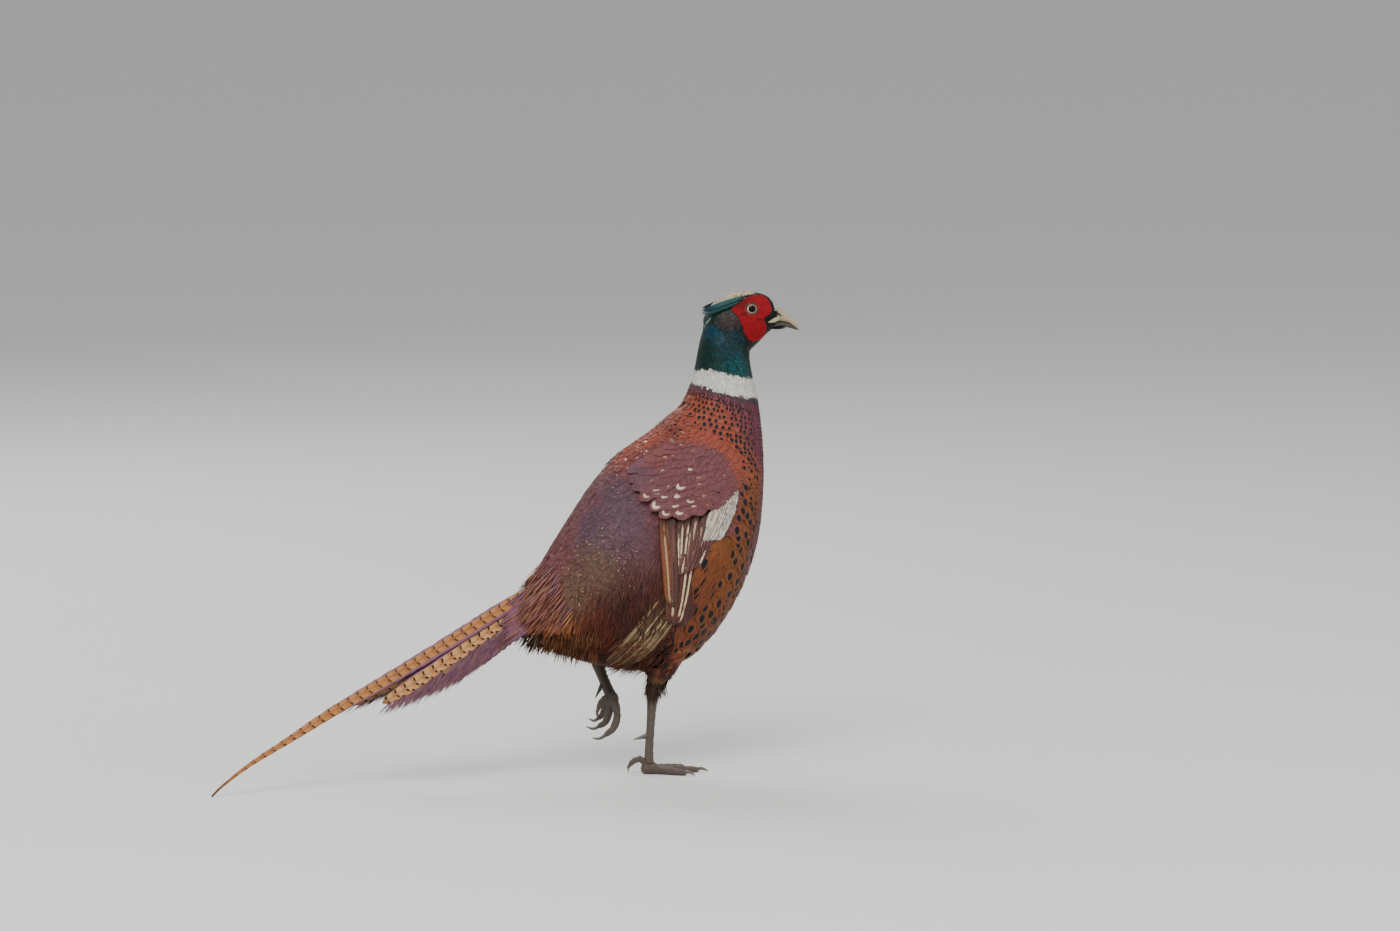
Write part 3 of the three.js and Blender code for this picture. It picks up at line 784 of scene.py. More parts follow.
@dataclass
class Look:
    """What the plumage's finish reads, one row for each feather."""

    tint: Array
    mark: Array
    form: Array
    grain: Array

    @staticmethod
    def plain(tint: Array, count: int, gloss: float = 0.0) -> "Look":
        """Feathers without marks, all of one tint or each of its own."""
        spread = np.broadcast_to(tint, (count, 4))
        grain = np.tile([0.0, 0.0, gloss], (count, 1))
        return Look(spread.copy(), spread.copy(), np.zeros((count, 3)), grain)


@dataclass
class Vanes:
    """Feathers, one row each, ready to be made a mesh.

    Attributes:
        middle: Points along each shaft, from root to tip, on what the feather lies on.
        up: The way out of the surface at each point.
        half: Half the width of each feather, in millimetres.
        look: The colours and marks.
        root: Each root's place on the unwrapped skin.
        cut: Their form.
        height: Height of each point of the shaft over the surface.
        bend: How far each edge drops to follow the skin, for the left and right of every row.
        patch: The size of each feather on the unwrap.
    """

    middle: Array
    up: Array
    half: Array
    look: Look
    root: Array
    cut: Cut
    height: Array | float = 0.0
    bend: Array | None = None
    patch: float = 0.003

    def build(self, name: str, rng: Chance) -> Piece:
        """Makes the joined mesh of all the feathers: closed, flat beneath and cupped on top.

        Args:
            name: The piece's name.
            rng: Where chance comes from.

        Returns:
            The piece.
        """
        cut = self.cut
        count, rows = self.middle.shape[:2]
        v = np.array(cut.columns)
        u = np.linspace(0.0, 1.0, rows)
        way = unit(np.gradient(self.middle, axis=1))
        side = unit(np.cross(way, self.up))
        up = np.cross(side, way)
        width = cut.outline(u)[None, :, None] * np.ones((count, 1, len(v)))
        width = width * (1.0 + cut.ragged * rng.uniform(-1, 1, width.shape) * (np.abs(v) > 0.9))
        across = width * v[None, None, :]
        reach = self.half[:, None, None] * across
        drop = cut.cup * self.half[:, None, None] * width * v**2
        if self.bend is not None:
            drop = drop + np.where(v < 0, self.bend[..., :1], self.bend[..., 1:]) * v**2
        height = np.broadcast_to(self.height, (count, rows))[:, :, None]
        lift = height + cut.thick * (1 - v**2) * (1 - 0.7 * u[None, :, None]) - drop
        points = self.middle[:, :, None] + side[:, :, None] * reach[..., None]
        points = points + up[:, :, None] * lift[..., None]
        faces, starts = self._faces(count, rows, len(v))
        mesh = self._mesh(name, points, faces, starts)
        if cut.even:
            self._soften(mesh, up, faces)
        chance = rng.random(count)[:, None, None]
        shape = across.shape
        lay = [np.broadcast_to(u[None, :, None], shape), across, np.broadcast_to(chance, shape)]
        lay = np.stack(lay, axis=-1).reshape(-1, 3)
        paint(mesh, "lay", lay)
        each = rows * len(v)
        for key in ("tint", "mark", "form", "grain"):
            paint(mesh, key, np.repeat(getattr(self.look, key), each, axis=0))
        own = np.stack([lay[:, 1] * 0.5, lay[:, 0]], axis=-1)
        corner = np.repeat(self.root, each, axis=0) + self.patch * own
        layer = mesh.uv_layers.new(name="OFBake")
        layer.data.foreach_set("uv", corner[faces].astype(np.float32).ravel())
        piece = bpy.data.objects.new(name, mesh)
        bpy.context.scene.collection.objects.link(piece)
        return piece

    @staticmethod
    def _mesh(name: str, points: Array, faces: Array, starts: Array) -> Mesh:
        """A smooth mesh of points in millimetres, with the corners of all its faces one after the other."""
        mesh = bpy.data.meshes.new(name)
        mesh.vertices.add(points.size // 3)
        mesh.vertices.foreach_set("co", (points * MM).ravel())
        mesh.loops.add(len(faces))
        mesh.loops.foreach_set("vertex_index", faces)
        mesh.polygons.add(len(starts))
        mesh.polygons.foreach_set("loop_start", starts)
        mesh.polygons.foreach_set("use_smooth", np.ones(len(starts), bool))
        mesh.update(calc_edges=True)
        return mesh

    def _soften(self, mesh: Mesh, up: Array, faces: Array) -> None:
        """Leans the shading of every face towards the way out of the skin, so that edges barely show."""
        even = self.cut.even
        own = normals(mesh).reshape(*up.shape[:2], len(self.cut.columns), 3)
        leant = unit(own * (1 - even) + up[:, :, None] * even).reshape(-1, 3)
        layer = mesh.attributes.new("custom_normal", "FLOAT_VECTOR", "CORNER")
        layer.data.foreach_set("vector", leant[faces].astype(np.float32).ravel())

    @staticmethod
    def _faces(count: int, rows: int, wide: int) -> tuple[Array, Array]:
        """The corners of every face, and where each face starts among them."""
        last = wide - 1
        i, j = (grid.ravel() for grid in np.meshgrid(np.arange(rows - 1), np.arange(last), indexing="ij"))
        a = i * wide + j
        top = np.stack([a, a + 1, a + wide + 1, a + wide], axis=-1)
        b = np.arange(rows - 1) * wide
        under = np.stack([b, b + wide, b + wide + last, b + last], axis=-1)
        root = np.arange(last, -1, -1)
        tip = (rows - 1) * wide + np.arange(wide)
        loops = np.concatenate([top.ravel(), under.ravel(), root, tip])
        totals = np.array([4] * (len(top) + len(under)) + [wide, wide])
        starts = np.concatenate([[0], np.cumsum(totals)[:-1]])
        feather = np.arange(count)[:, None]
        faces, starts = loops + feather * rows * wide, starts + feather * len(loops)
        return faces.ravel().astype(np.int32), starts.ravel().astype(np.int32)


def drawn(codes: Sequence[str], odds: Sequence[float], count: int, rng: Chance) -> Array:
    """Colours drawn for so many strands, each colour with its own odds."""
    tints = np.array([colour(code) for code in codes])
    return tints[rng.choice(len(tints), count, p=odds)]


class Zone(Enum):
    """A part of the skin with its own surface and its own place on the unwrap."""

    TRUNK = 0
    HEAD = 1
    THIGH_RIGHT = 2
    THIGH_LEFT = 3


@dataclass(frozen=True)
class Region:
    """A zone's surface, and the corner and size of its place on the unwrap."""

    surface: Loft | Limb
    corner: tuple[float, float]
    size: tuple[float, float]


REGIONS = {
    Zone.TRUNK: Region(TRUNK, (0.0, 0.0), (0.98, 0.7)),
    Zone.HEAD: Region(HEAD, (0.0, 0.72), (0.48, 0.27)),
    Zone.THIGH_RIGHT: Region(THIGHS[RIGHT], (0.52, 0.72), (0.21, 0.27)),
    Zone.THIGH_LEFT: Region(THIGHS[LEFT], (0.77, 0.72), (0.21, 0.27)),
}


def unwrap(zone: Zone, s: Array, angle: Array) -> Array:
    """Where a place on the skin lies on its unwrap: round the body across it, along the body up it."""
    corner, size = REGIONS[zone].corner, REGIONS[zone].size
    return np.stack([corner[0] + size[0] * (0.5 + angle / math.tau), corner[1] + size[1] * s], axis=-1)


# The bird's markings


class Tone(Enum):
    """The plumage's colours."""

    BLACK_GREEN = "0c1a17"
    BOTTLE = "10302a"
    TEAL = "0f474b"
    BLUE = "163f50"
    SLATE = "1b353d"
    WHITE = "cfcdc5"
    LINE = "3c343c"
    PINK = "74404a"
    RUFOUS = "8f4630"
    MAGENTA = "69323f"
    MAROON = "8a4130"
    PLUM = "6a3c3e"
    COPPER = "78431d"
    RUST = "713a20"
    UMBER = "42211a"
    WINE = "562619"
    OLIVE = "5b4436"
    VIOLET = "58404a"
    GINGER = "a4643a"
    # Painted shade, for the hollow under the root of the tail.
    BLACK = "34251d"
    CREAM = "d9c9a2"
    FAWN = "b3a184"
    BARK = "3b3230"


TONES = {tone: colour(tone.value) for tone in Tone}


@dataclass(frozen=True)
class Patch:
    """An area of one tone: its middle as (s, degrees from the back) and its reach in both."""

    tone: Tone
    s: float
    angle: float
    long: float
    wide: float


@dataclass(frozen=True)
class Markings:
    """Where the bird's colours and marks are."""

    patches: tuple[Patch, ...] = (
        Patch(Tone.BLUE, 0.95, 58, 0.035, 26),
        Patch(Tone.SLATE, 0.88, 95, 0.05, 30),
        Patch(Tone.BOTTLE, 0.84, 30, 0.05, 60),
        Patch(Tone.TEAL, 0.83, 115, 0.05, 30),
        Patch(Tone.BLACK_GREEN, 0.87, 165, 0.07, 28),
        Patch(Tone.BLACK_GREEN, 0.98, 130, 0.05, 60),
        Patch(Tone.PINK, 0.69, 50, 0.02, 70),
        Patch(Tone.RUFOUS, 0.62, 35, 0.05, 45),
        Patch(Tone.RUFOUS, 0.585, 98, 0.035, 24),
        Patch(Tone.MAGENTA, 0.66, 140, 0.05, 34),
        Patch(Tone.MAGENTA, 0.56, 160, 0.07, 24),
        Patch(Tone.RUST, 0.44, 170, 0.05, 26),
        Patch(Tone.MAROON, 0.525, 35, 0.035, 45),
        Patch(Tone.PLUM, 0.44, 55, 0.06, 32),
        Patch(Tone.PLUM, 0.5, 66, 0.03, 26),
        Patch(Tone.MAROON, 0.4, 8, 0.05, 22),
        Patch(Tone.VIOLET, 0.32, 38, 0.04, 26),
        Patch(Tone.VIOLET, 0.25, 34, 0.04, 26),
        Patch(Tone.PLUM, 0.22, 6, 0.1, 16),
        Patch(Tone.PLUM, 0.13, 25, 0.04, 30),
        Patch(Tone.OLIVE, 0.225, 60, 0.03, 16),
        Patch(Tone.OLIVE, 0.15, 62, 0.03, 16),
        Patch(Tone.COPPER, 0.54, 114, 0.05, 20),
        Patch(Tone.COPPER, 0.44, 116, 0.07, 28),
        Patch(Tone.RUST, 0.36, 130, 0.04, 22),
        Patch(Tone.WINE, 0.3, 160, 0.05, 30),
        Patch(Tone.UMBER, 0.26, 98, 0.05, 20),
        Patch(Tone.WINE, 0.19, 106, 0.05, 22),
        Patch(Tone.GINGER, 0.09, 118, 0.05, 30),
        Patch(Tone.GINGER, 0.03, 70, 0.025, 40),
        Patch(Tone.GINGER, 0.11, 148, 0.035, 18),
        Patch(Tone.UMBER, 0.2, 155, 0.07, 28),
        # Painted shade in the hollow under the root of the tail.
        Patch(Tone.BLACK, 0.03, 168, 0.03, 16),
    )
    head: tuple[Patch, ...] = (
        Patch(Tone.BLACK_GREEN, 112, 450, 10, 9),
        Patch(Tone.BLACK_GREEN, 90, 452, 14, 4),
        Patch(Tone.BARK, 72, 430, 9, 7),
        Patch(Tone.BLUE, 56, 416, 4.5, 5.5),
        Patch(Tone.SLATE, 76, 412, 10, 7),
        Patch(Tone.BLACK_GREEN, 108, 420, 12, 9),
        Patch(Tone.BLACK_GREEN, 90, 402, 12, 8),
        Patch(Tone.BOTTLE, 56, 436, 8, 8),
        Patch(Tone.BOTTLE, 72, 443, 12, 4),
    )
    edge_angles: tuple[float, ...] = (0, 54, 89, 131, 180)
    collar_top: tuple[float, ...] = (0.774, 0.792, 0.784, 0.78, 0.78)
    collar_foot: tuple[float, ...] = (0.71, 0.706, 0.706, 0.714, 0.716)

    @staticmethod
    def _blend(patches: Iterable[Patch], first: Array, second: Array) -> Array:
        """The tones of the patches, each by how near it is."""
        total = np.full(first.shape, 1e-9)
        mixed = np.zeros(first.shape + (4,))
        for patch in patches:
            away = ((first - patch.s) / patch.long) ** 2 + ((second - patch.angle) / patch.wide) ** 2
            weight = 1.0 / (0.3 + away) ** 2.2
            total += weight
            mixed += weight[..., None] * TONES[patch.tone]
        return mixed / total[..., None]

    def collar(self, s: Array, angle: Array) -> Array:
        """1 on the white collar, whose edges are ragged."""
        wave = 0.002 * np.sin(angle * 0.23) + 0.0015 * np.sin(angle * 0.61)
        top = np.interp(angle, self.edge_angles, self.collar_top)
        foot = np.interp(angle, self.edge_angles, self.collar_foot)
        return ease(s + wave, foot - 0.002, foot + 0.002) * ease(s + wave, top + 0.002, top - 0.002)

    def under_collar(self, s: Array, angle: Array) -> Array:
        """1 on the dark line under the collar."""
        foot = np.interp(angle, self.edge_angles, self.collar_foot)
        return ease(s, foot - 0.02, foot - 0.012) * ease(s, foot + 0.003, foot)

    def tint(self, zone: Zone, s: Array, angle: Array, points: Array) -> Array:
        """The main colour at places on the skin.

        Args:
            zone: The part of the skin.
            s: Place along it.
            angle: Degrees from the back, without sign.
            points: The places in space.

        Returns:
            A colour for each.
        """
        if zone in (Zone.THIGH_RIGHT, Zone.THIGH_LEFT):
            low = ease(s, 0.2, 0.75)[..., None]
            return colour("7d4a2c") * (1 - low) + colour("5f482f") * low
        straight = TURN.undo(points)
        if zone is Zone.HEAD:
            made = self._blend(self.head, straight[..., 0], straight[..., 2])
            crown = self.crown(straight)[..., None]
            cream = TONES[Tone.FAWN] * (0.8 + 0.2 * ease(straight[..., 0], 60, 95))[..., None]
            made = made * (1 - crown) + cream * crown
            white = self.nape(straight)[..., None]
            return made * (1 - white) + TONES[Tone.WHITE] * white
        made = self._blend(self.patches, s, angle)
        plum = self.shoulder(s, angle)[..., None]
        near = (0.8 * band(s, 0.37, 0.56, 0.03) * ease(angle, 92, 84))[..., None]
        made = made * (1 - near) + (TONES[Tone.MAROON] * (1 - plum) + TONES[Tone.PLUM] * plum) * near
        line = self.under_collar(s, angle)[..., None] * 0.8
        made = made * (1 - line) + TONES[Tone.LINE] * line
        white = np.maximum(self.collar(s, angle), self.nape(straight))[..., None]
        return made * (1 - white) + TONES[Tone.WHITE] * white

    @staticmethod
    def shoulder(s: Array, angle: Array) -> Array:
        """1 on the plum shoulder and back, 0 on the ruff, whose lower edge slants up from the back."""
        edge = np.interp(angle, (0, 11, 29, 47, 72, 92), (0.35, 0.37, 0.436, 0.474, 0.522, 0.5))
        return ease(s, edge + 0.014, edge - 0.014)

    @staticmethod
    def above_brow(straight: Array) -> Array:
        """How far places on the head, turned straight ahead, lie above the line of the ear tufts."""
        return straight[..., 2] - np.interp(straight[..., 0], [58, 70, 85, 100], [442, 447.4, 452.4, 455.2])

    def crown(self, straight: Array) -> Array:
        """1 on the pale crown, above the line of the ear tufts and behind the forehead."""
        return ease(self.above_brow(straight), -0.6, 1.0) * ease(straight[..., 0], 104, 98)

    @staticmethod
    def nape(straight: Array) -> Array:
        """1 on the thin pale streak behind the ear."""
        top, foot = np.array([57.4, 432.8]), np.array([49.6, 421.3])
        flat = straight[..., (0, 2)]
        share = np.clip((flat - top) @ (foot - top) / np.sum((foot - top) ** 2), 0, 1)
        away = np.linalg.norm(flat - top - share[..., None] * (foot - top), axis=-1)
        return 0.3 * ease(away, 1.0, 0.4)

    @staticmethod
    def scapular(look: Look, s: Array, degrees: Array, rng: Chance) -> Look:
        """The look of shoulder feathers: plain plum ones, and cream crescents on the hindmost."""
        count = len(s)
        chance = rng.random(count)
        near = ease(np.hypot((s - 0.375) / 0.045, (degrees - 56) / 16), 1.4, 0.7)
        plum = TONES[Tone.PLUM] * 0.85 + TONES[Tone.VIOLET] * 0.15
        below = Markings.shoulder(s, degrees)
        blend = (0.85 * ease(degrees, 28, 50) * below)[:, None]
        look.tint = look.tint * (1 - blend) + plum * blend * (1 + rng.normal(0, 0.05, (count, 1)))
        look.tint[:, 3] = 1.0
        far = band(s, 0.37, 0.52, 0.02) * (chance < 0.3) * ease(degrees, 96, 86)
        look.form[:, 0] = 0.0
        dashes = 0.36 * (chance > 0.5) * (near < 0.2) * ease(s, 0.4, 0.46)
        look.form[:, 1] = np.maximum(dashes, 0.5 * (1 - below) * (chance < 0.8))
        look.form[:, 2] = np.maximum(near * rng.uniform(0.3, 0.9, count) * (chance < 0.58), 0.22 * far)
        pale = near[:, None]
        look.mark = colour("b3a58c") * pale + colour("a8875e") * (1 - pale)
        look.grain[:, 0] = 0.0
        look.grain[:, 2] = 0.12
        return look

    def look(self, zone: Zone, s: Array, angle: Array, points: Array, rng: Chance) -> Look:
        """The colours and marks of feathers rooted at places on the skin; the arguments are `tint`'s."""
        count = len(s)
        degrees = np.abs(np.degrees(angle))
        look = Look.plain(np.ones(4), count, 0.12)
        jitter = 1.0 + rng.normal(0, 0.025, (count, 4))
        look.tint = np.clip(self.tint(zone, s, degrees, points) * jitter, 0, 1)
        look.tint[:, 3] = 1.0
        look.mark = np.tile(TONES[Tone.CREAM], (count, 1))
        chance = rng.random(count)
        if zone is Zone.HEAD:
            self._dress_head(look, points, chance, rng)
        elif zone is Zone.TRUNK:
            self._dress_trunk(look, s, degrees, chance, rng)
        return look

    @staticmethod
    def _flash(look: Look, share: Array, spread: float, rng: Chance) -> None:
        """Makes tints differ, in blue and green more than in red, as glossy feathers do."""
        change = share[:, None] * rng.normal(0, spread, (len(share), 1)) * np.array([0.4, 0.8, 1.0, 0.0])
        look.tint = np.clip(look.tint * (1 + change), 0, 1)

    def _dress_head(self, look: Look, points: Array, chance: Array, rng: Chance) -> None:
        """Gives the head its gloss, its dark rims and the flecks of the crown and brow."""
        straight = TURN.undo(points)
        crown = self.crown(straight)
        brow = -self.above_brow(straight)
        speck = 0.6 * band(brow, 0.2, 1.8, 0.3) * band(straight[:, 0], 84, 99, 1) * (chance < 0.25)
        pale = np.maximum(speck, 0.25 * crown * (chance > 0.7))[:, None]
        look.tint = look.tint * (1 - pale) + TONES[Tone.WHITE] * pale
        look.tint[:, :3] *= (1 - 0.35 * crown * (chance < 0.18))[:, None]
        self._flash(look, 1 - crown, 0.3, rng)
        look.form[:, 0] = 0.5 * (1 - crown)
        look.grain[:, 2] = 0.75 * (1 - crown)

    def _dress_trunk(self, look: Look, s: Array, degrees: Array, chance: Array, rng: Chance) -> None:
        """Gives the neck its gloss, and the body its rims, drops, crescents, streaks and flecks."""
        neck = ease(s, 0.77, 0.79)
        white = self.collar(s, degrees)
        front = ease(degrees, 120, 142) * band(s, 0.47, 0.71, 0.03)
        ruff = band(s, 0.545, 0.69, 0.012) * ease(degrees, 132, 116)
        mantle = band(s, 0.43, 0.56, 0.02) * ease(degrees, 100, 92)
        under_wing = ease(s, 0.435, 0.42) * ease(degrees, 110, 102)
        breast = band(s, 0.24, 0.55, 0.02) * ease(degrees, 84, 92) * (1 - under_wing)
        olive = band(s, 0.13, 0.3, 0.03) * band(degrees, 34, 76, 10)
        gloss = (0.1 + 0.75 * neck + 0.2 * breast + 0.25 * front) * (1 - white)
        self._flash(look, neck * (1 - white), 0.32, rng)
        look.tint[:, :3] *= 1 - 0.2 * (white * (chance < 0.15))[:, None]
        rim = 0.5 * neck + 0.35 * front + 0.25 * breast + 0.15 * ruff
        big = np.interp(s, [0.3, 0.46, 0.54], [0.66, 0.6, 0.8])
        on_ruff = np.maximum(0.8 * ruff * (s > 0.57), 0.5 * ruff) * (chance < 0.95)
        on_breast = big * breast * (chance < 0.96) * (front < 0.5)
        above = self.shoulder(s, degrees) < 0.5
        on_mantle = mantle * np.where(above, 0.55 * (chance < 0.85), 0.36 * (chance < 0.35))
        spot = np.maximum(np.maximum(on_ruff, on_breast), on_mantle)
        crescent = 0.25 * band(s, 0.31, 0.44, 0.02) * ease(degrees, 44, 30) * (chance > 0.95)
        fleck = 0.7 * olive * (chance < 0.7)
        streak = 0.75 * front * (1 - white) * (front > 0.3)
        gold = colour("b7a068") * olive[:, None] + look.mark * (1 - olive[:, None])
        look.mark = np.where((front > 0.3)[:, None], colour("260f1c"), gold)
        look.form = np.stack([rim, spot, crescent], axis=-1)
        look.grain = np.stack([streak, fleck, gloss], axis=-1)


MARKINGS = Markings()


# The skin


@dataclass
class Hit:
    """Where points meet the skin."""

    spot: Array
    up: Array
    flow: Array
    gap: Array


@dataclass
class Skin:
    """One skin for the trunk, neck, head and thighs, inside the solids by the depth of the coat."""

    nodes: tuple[str, ...] = ("torso", "neck", "head", "thigh_right", "thigh_left")
    voxel: float = 2.0
    smoothing: int = 6
    head_depth: float = 0.9
    neck_depth: float = 1.5
    body_depth: float = 3.0
    piece: Piece | None = None
    heights: tuple[float, ...] = (150, 184, 222, 260, 290, 315)
    headings: tuple[float, ...] = (102, 92, 78, 64, 46, 40)

    def depth_at(self, points: Array) -> Array:
        """How far inside the solids the skin lies at points, in millimetres."""
        height = points[..., 2]
        body = self.neck_depth + (self.body_depth - self.neck_depth) * ease(height, 380, 320)
        body = self.head_depth + (body - self.head_depth) * ease(height, 95, 125)
        return body + (self.head_depth - body) * ease(height, 395, 425)

    def build(self) -> None:
        """Joins copies of the solids, smooths them, moves them inwards and reads the flow of the coat."""
        piece = copy_of("skin", *self.nodes)
        with_modifier(piece, "REMESH", mode="VOXEL", voxel_size=self.voxel * MM, adaptivity=0.0)
        with_modifier(piece, "SMOOTH", factor=0.5, iterations=self.smoothing)
        mesh = piece.data
        points = coordinates(mesh)
        reshape(mesh, points - normals(mesh) * self.depth_at(points)[:, None])
        with_modifier(piece, "SMOOTH", factor=0.5, iterations=2)
        self.piece = settle(piece)
        self._read()

    def _read(self) -> None:
        """Keeps the skin's shape, and the zone, place and flow at each of its vertices."""
        mesh = self.piece.data
        self.points, self.normals = coordinates(mesh), normals(mesh)
        mesh.calc_loop_triangles()
        corners = np.empty(len(mesh.loop_triangles) * 3, np.int32)
        mesh.loop_triangles.foreach_get("vertices", corners)
        self.corners = corners.reshape(-1, 3)
        self.tree = BVHTree.FromPolygons(self.points.tolist(), self.corners.tolist())
        samples, flows, places, zones = self._samples()
        nearest = KDTree(len(samples))
        for index, sample in enumerate(samples.tolist()):
            nearest.insert(sample, index)
        nearest.balance()
        found = np.array([nearest.find(point)[1] for point in self.points.tolist()])
        self.zone, self.place = zones[found], places[found]
        flow = flows[found]
        edges = np.empty(len(mesh.edges) * 2, np.int32)
        mesh.edges.foreach_get("vertices", edges)
        first, second = edges.reshape(-1, 2).T
        for _ in range(12):
            total = flow.copy()
            np.add.at(total, first, flow[second])
            np.add.at(total, second, flow[first])
            total -= self.normals * np.sum(total * self.normals, axis=1, keepdims=True)
            flow = unit(total)
        self.flow = flow

    def _samples(self) -> tuple[Array, Array, Array, Array]:
        """Places all over the surfaces, with the flow there, their (s, angle) and their zone."""
        points, flows, places, zones = [], [], [], []
        round_it = np.radians(np.arange(-180, 180, 3))
        step = 2e-3
        for zone, region in REGIONS.items():
            surface = region.surface
            along = np.linspace(0, 1, 160 if zone is Zone.TRUNK else 50)
            s, angle = np.meshgrid(along, round_it, indexing="ij")
            at = surface.on(s, angle)
            down = unit(surface.on(s - step, angle) - surface.on(s + step, angle))
            if zone is Zone.TRUNK:
                degrees = np.abs(np.degrees(angle))
                droop = 0.85 * ease(degrees, 35, 80) * ease(degrees, 150, 120) * ease(s, 0.5, 0.3)
                down = unit(down * (1 - droop)[..., None] + np.array([-0.12, 0, -1]) * droop[..., None])
                heading = np.radians(np.interp(at[..., 2], self.heights, self.headings))
                ahead = np.stack([np.cos(heading), np.zeros(heading.shape), -np.sin(heading)], axis=-1)
                shoulder = (band(degrees, 82, 138, 9) * band(s, 0.34, 0.6, 0.025))[..., None]
                down = unit(down * (1 - shoulder) + ahead * shoulder)
            elif zone is Zone.HEAD:
                turn = TURN.apply(at + [[-1.0, 0.0, 0.0]]) - TURN.apply(at)
                down = unit(turn + np.array([0, 0, -0.38]))
            else:
                down = -down
            points.append(at.reshape(-1, 3))
            flows.append(down.reshape(-1, 3))
            places.append(np.stack([s, angle], axis=-1).reshape(-1, 2))
            zones.append(np.full(s.size, zone.value))
        return np.concatenate(points), np.concatenate(flows), np.concatenate(places), np.concatenate(zones)

    def meet(self, points: Array) -> Hit:
        """The nearest places on the skin to points, with the way out and the flow there."""
        found = [self.tree.find_nearest(point) for point in points.tolist()]
        corners = self.corners[[hit[2] for hit in found]]
        return Hit(
            np.array([hit[0] for hit in found]),
            unit(self.normals[corners].mean(axis=1)),
            unit(self.flow[corners].mean(axis=1)),
            np.array([hit[3] for hit in found]),
        )

    def trace(self, roots: Array, length: Array, rows: int, swing: Array) -> tuple[Array, Array]:
        """Shafts that lie on the skin and follow the flow of the coat.

        Args:
            roots: Where they start.
            length: How long each is.
            rows: How many points each has.
            swing: Angle off the flow, in radians.

        Returns:
            The points of every shaft, and the way out of the skin at each.
        """
        hit = self.meet(roots)
        middle, up = [hit.spot], [hit.up]
        swing = swing[:, None]
        for _ in range(rows - 1):
            way = hit.flow * np.cos(swing) + np.cross(hit.up, hit.flow) * np.sin(swing)
            hit = self.meet(hit.spot + way * (length / (rows - 1))[:, None])
            middle.append(hit.spot)
            up.append(hit.up)
        return np.stack(middle, axis=1), np.stack(up, axis=1)

    def round(self, middle: Array, up: Array, reach: Array) -> Array:
        """How far a flat vane's edges stand off the skin, so that it can bend round it.

        Args:
            middle: The points of every shaft.
            up: The way out at each.
            reach: How far each edge is from the shaft.

        Returns:
            The gap at the left and the right edge of every row.
        """
        way = unit(np.gradient(middle, axis=1))
        side = unit(np.cross(way, up)) * reach[..., None]
        gaps = []
        for edge in (middle - side, middle + side):
            spot = self.meet(edge.reshape(-1, 3)).spot.reshape(edge.shape)
            gaps.append(np.clip(np.sum((edge - spot) * up, axis=-1), -0.6, 2.0))
        return np.stack(gaps, axis=-1)

    def dress(self, material: Finish) -> None:
        """Paints the markings on the skin and puts it in place of the solids of flesh."""
        tint = np.zeros((len(self.points), 4))
        for zone in Zone:
            here = self.zone == zone.value
            s, angle = self.place[here].T
            tint[here] = MARKINGS.tint(zone, s, np.abs(np.degrees(angle)), self.points[here])
        paint(self.piece.data, "tint", tint)
        adopt(self.piece, material, "plumage_copper", *self.nodes)


# The coat of body feathers


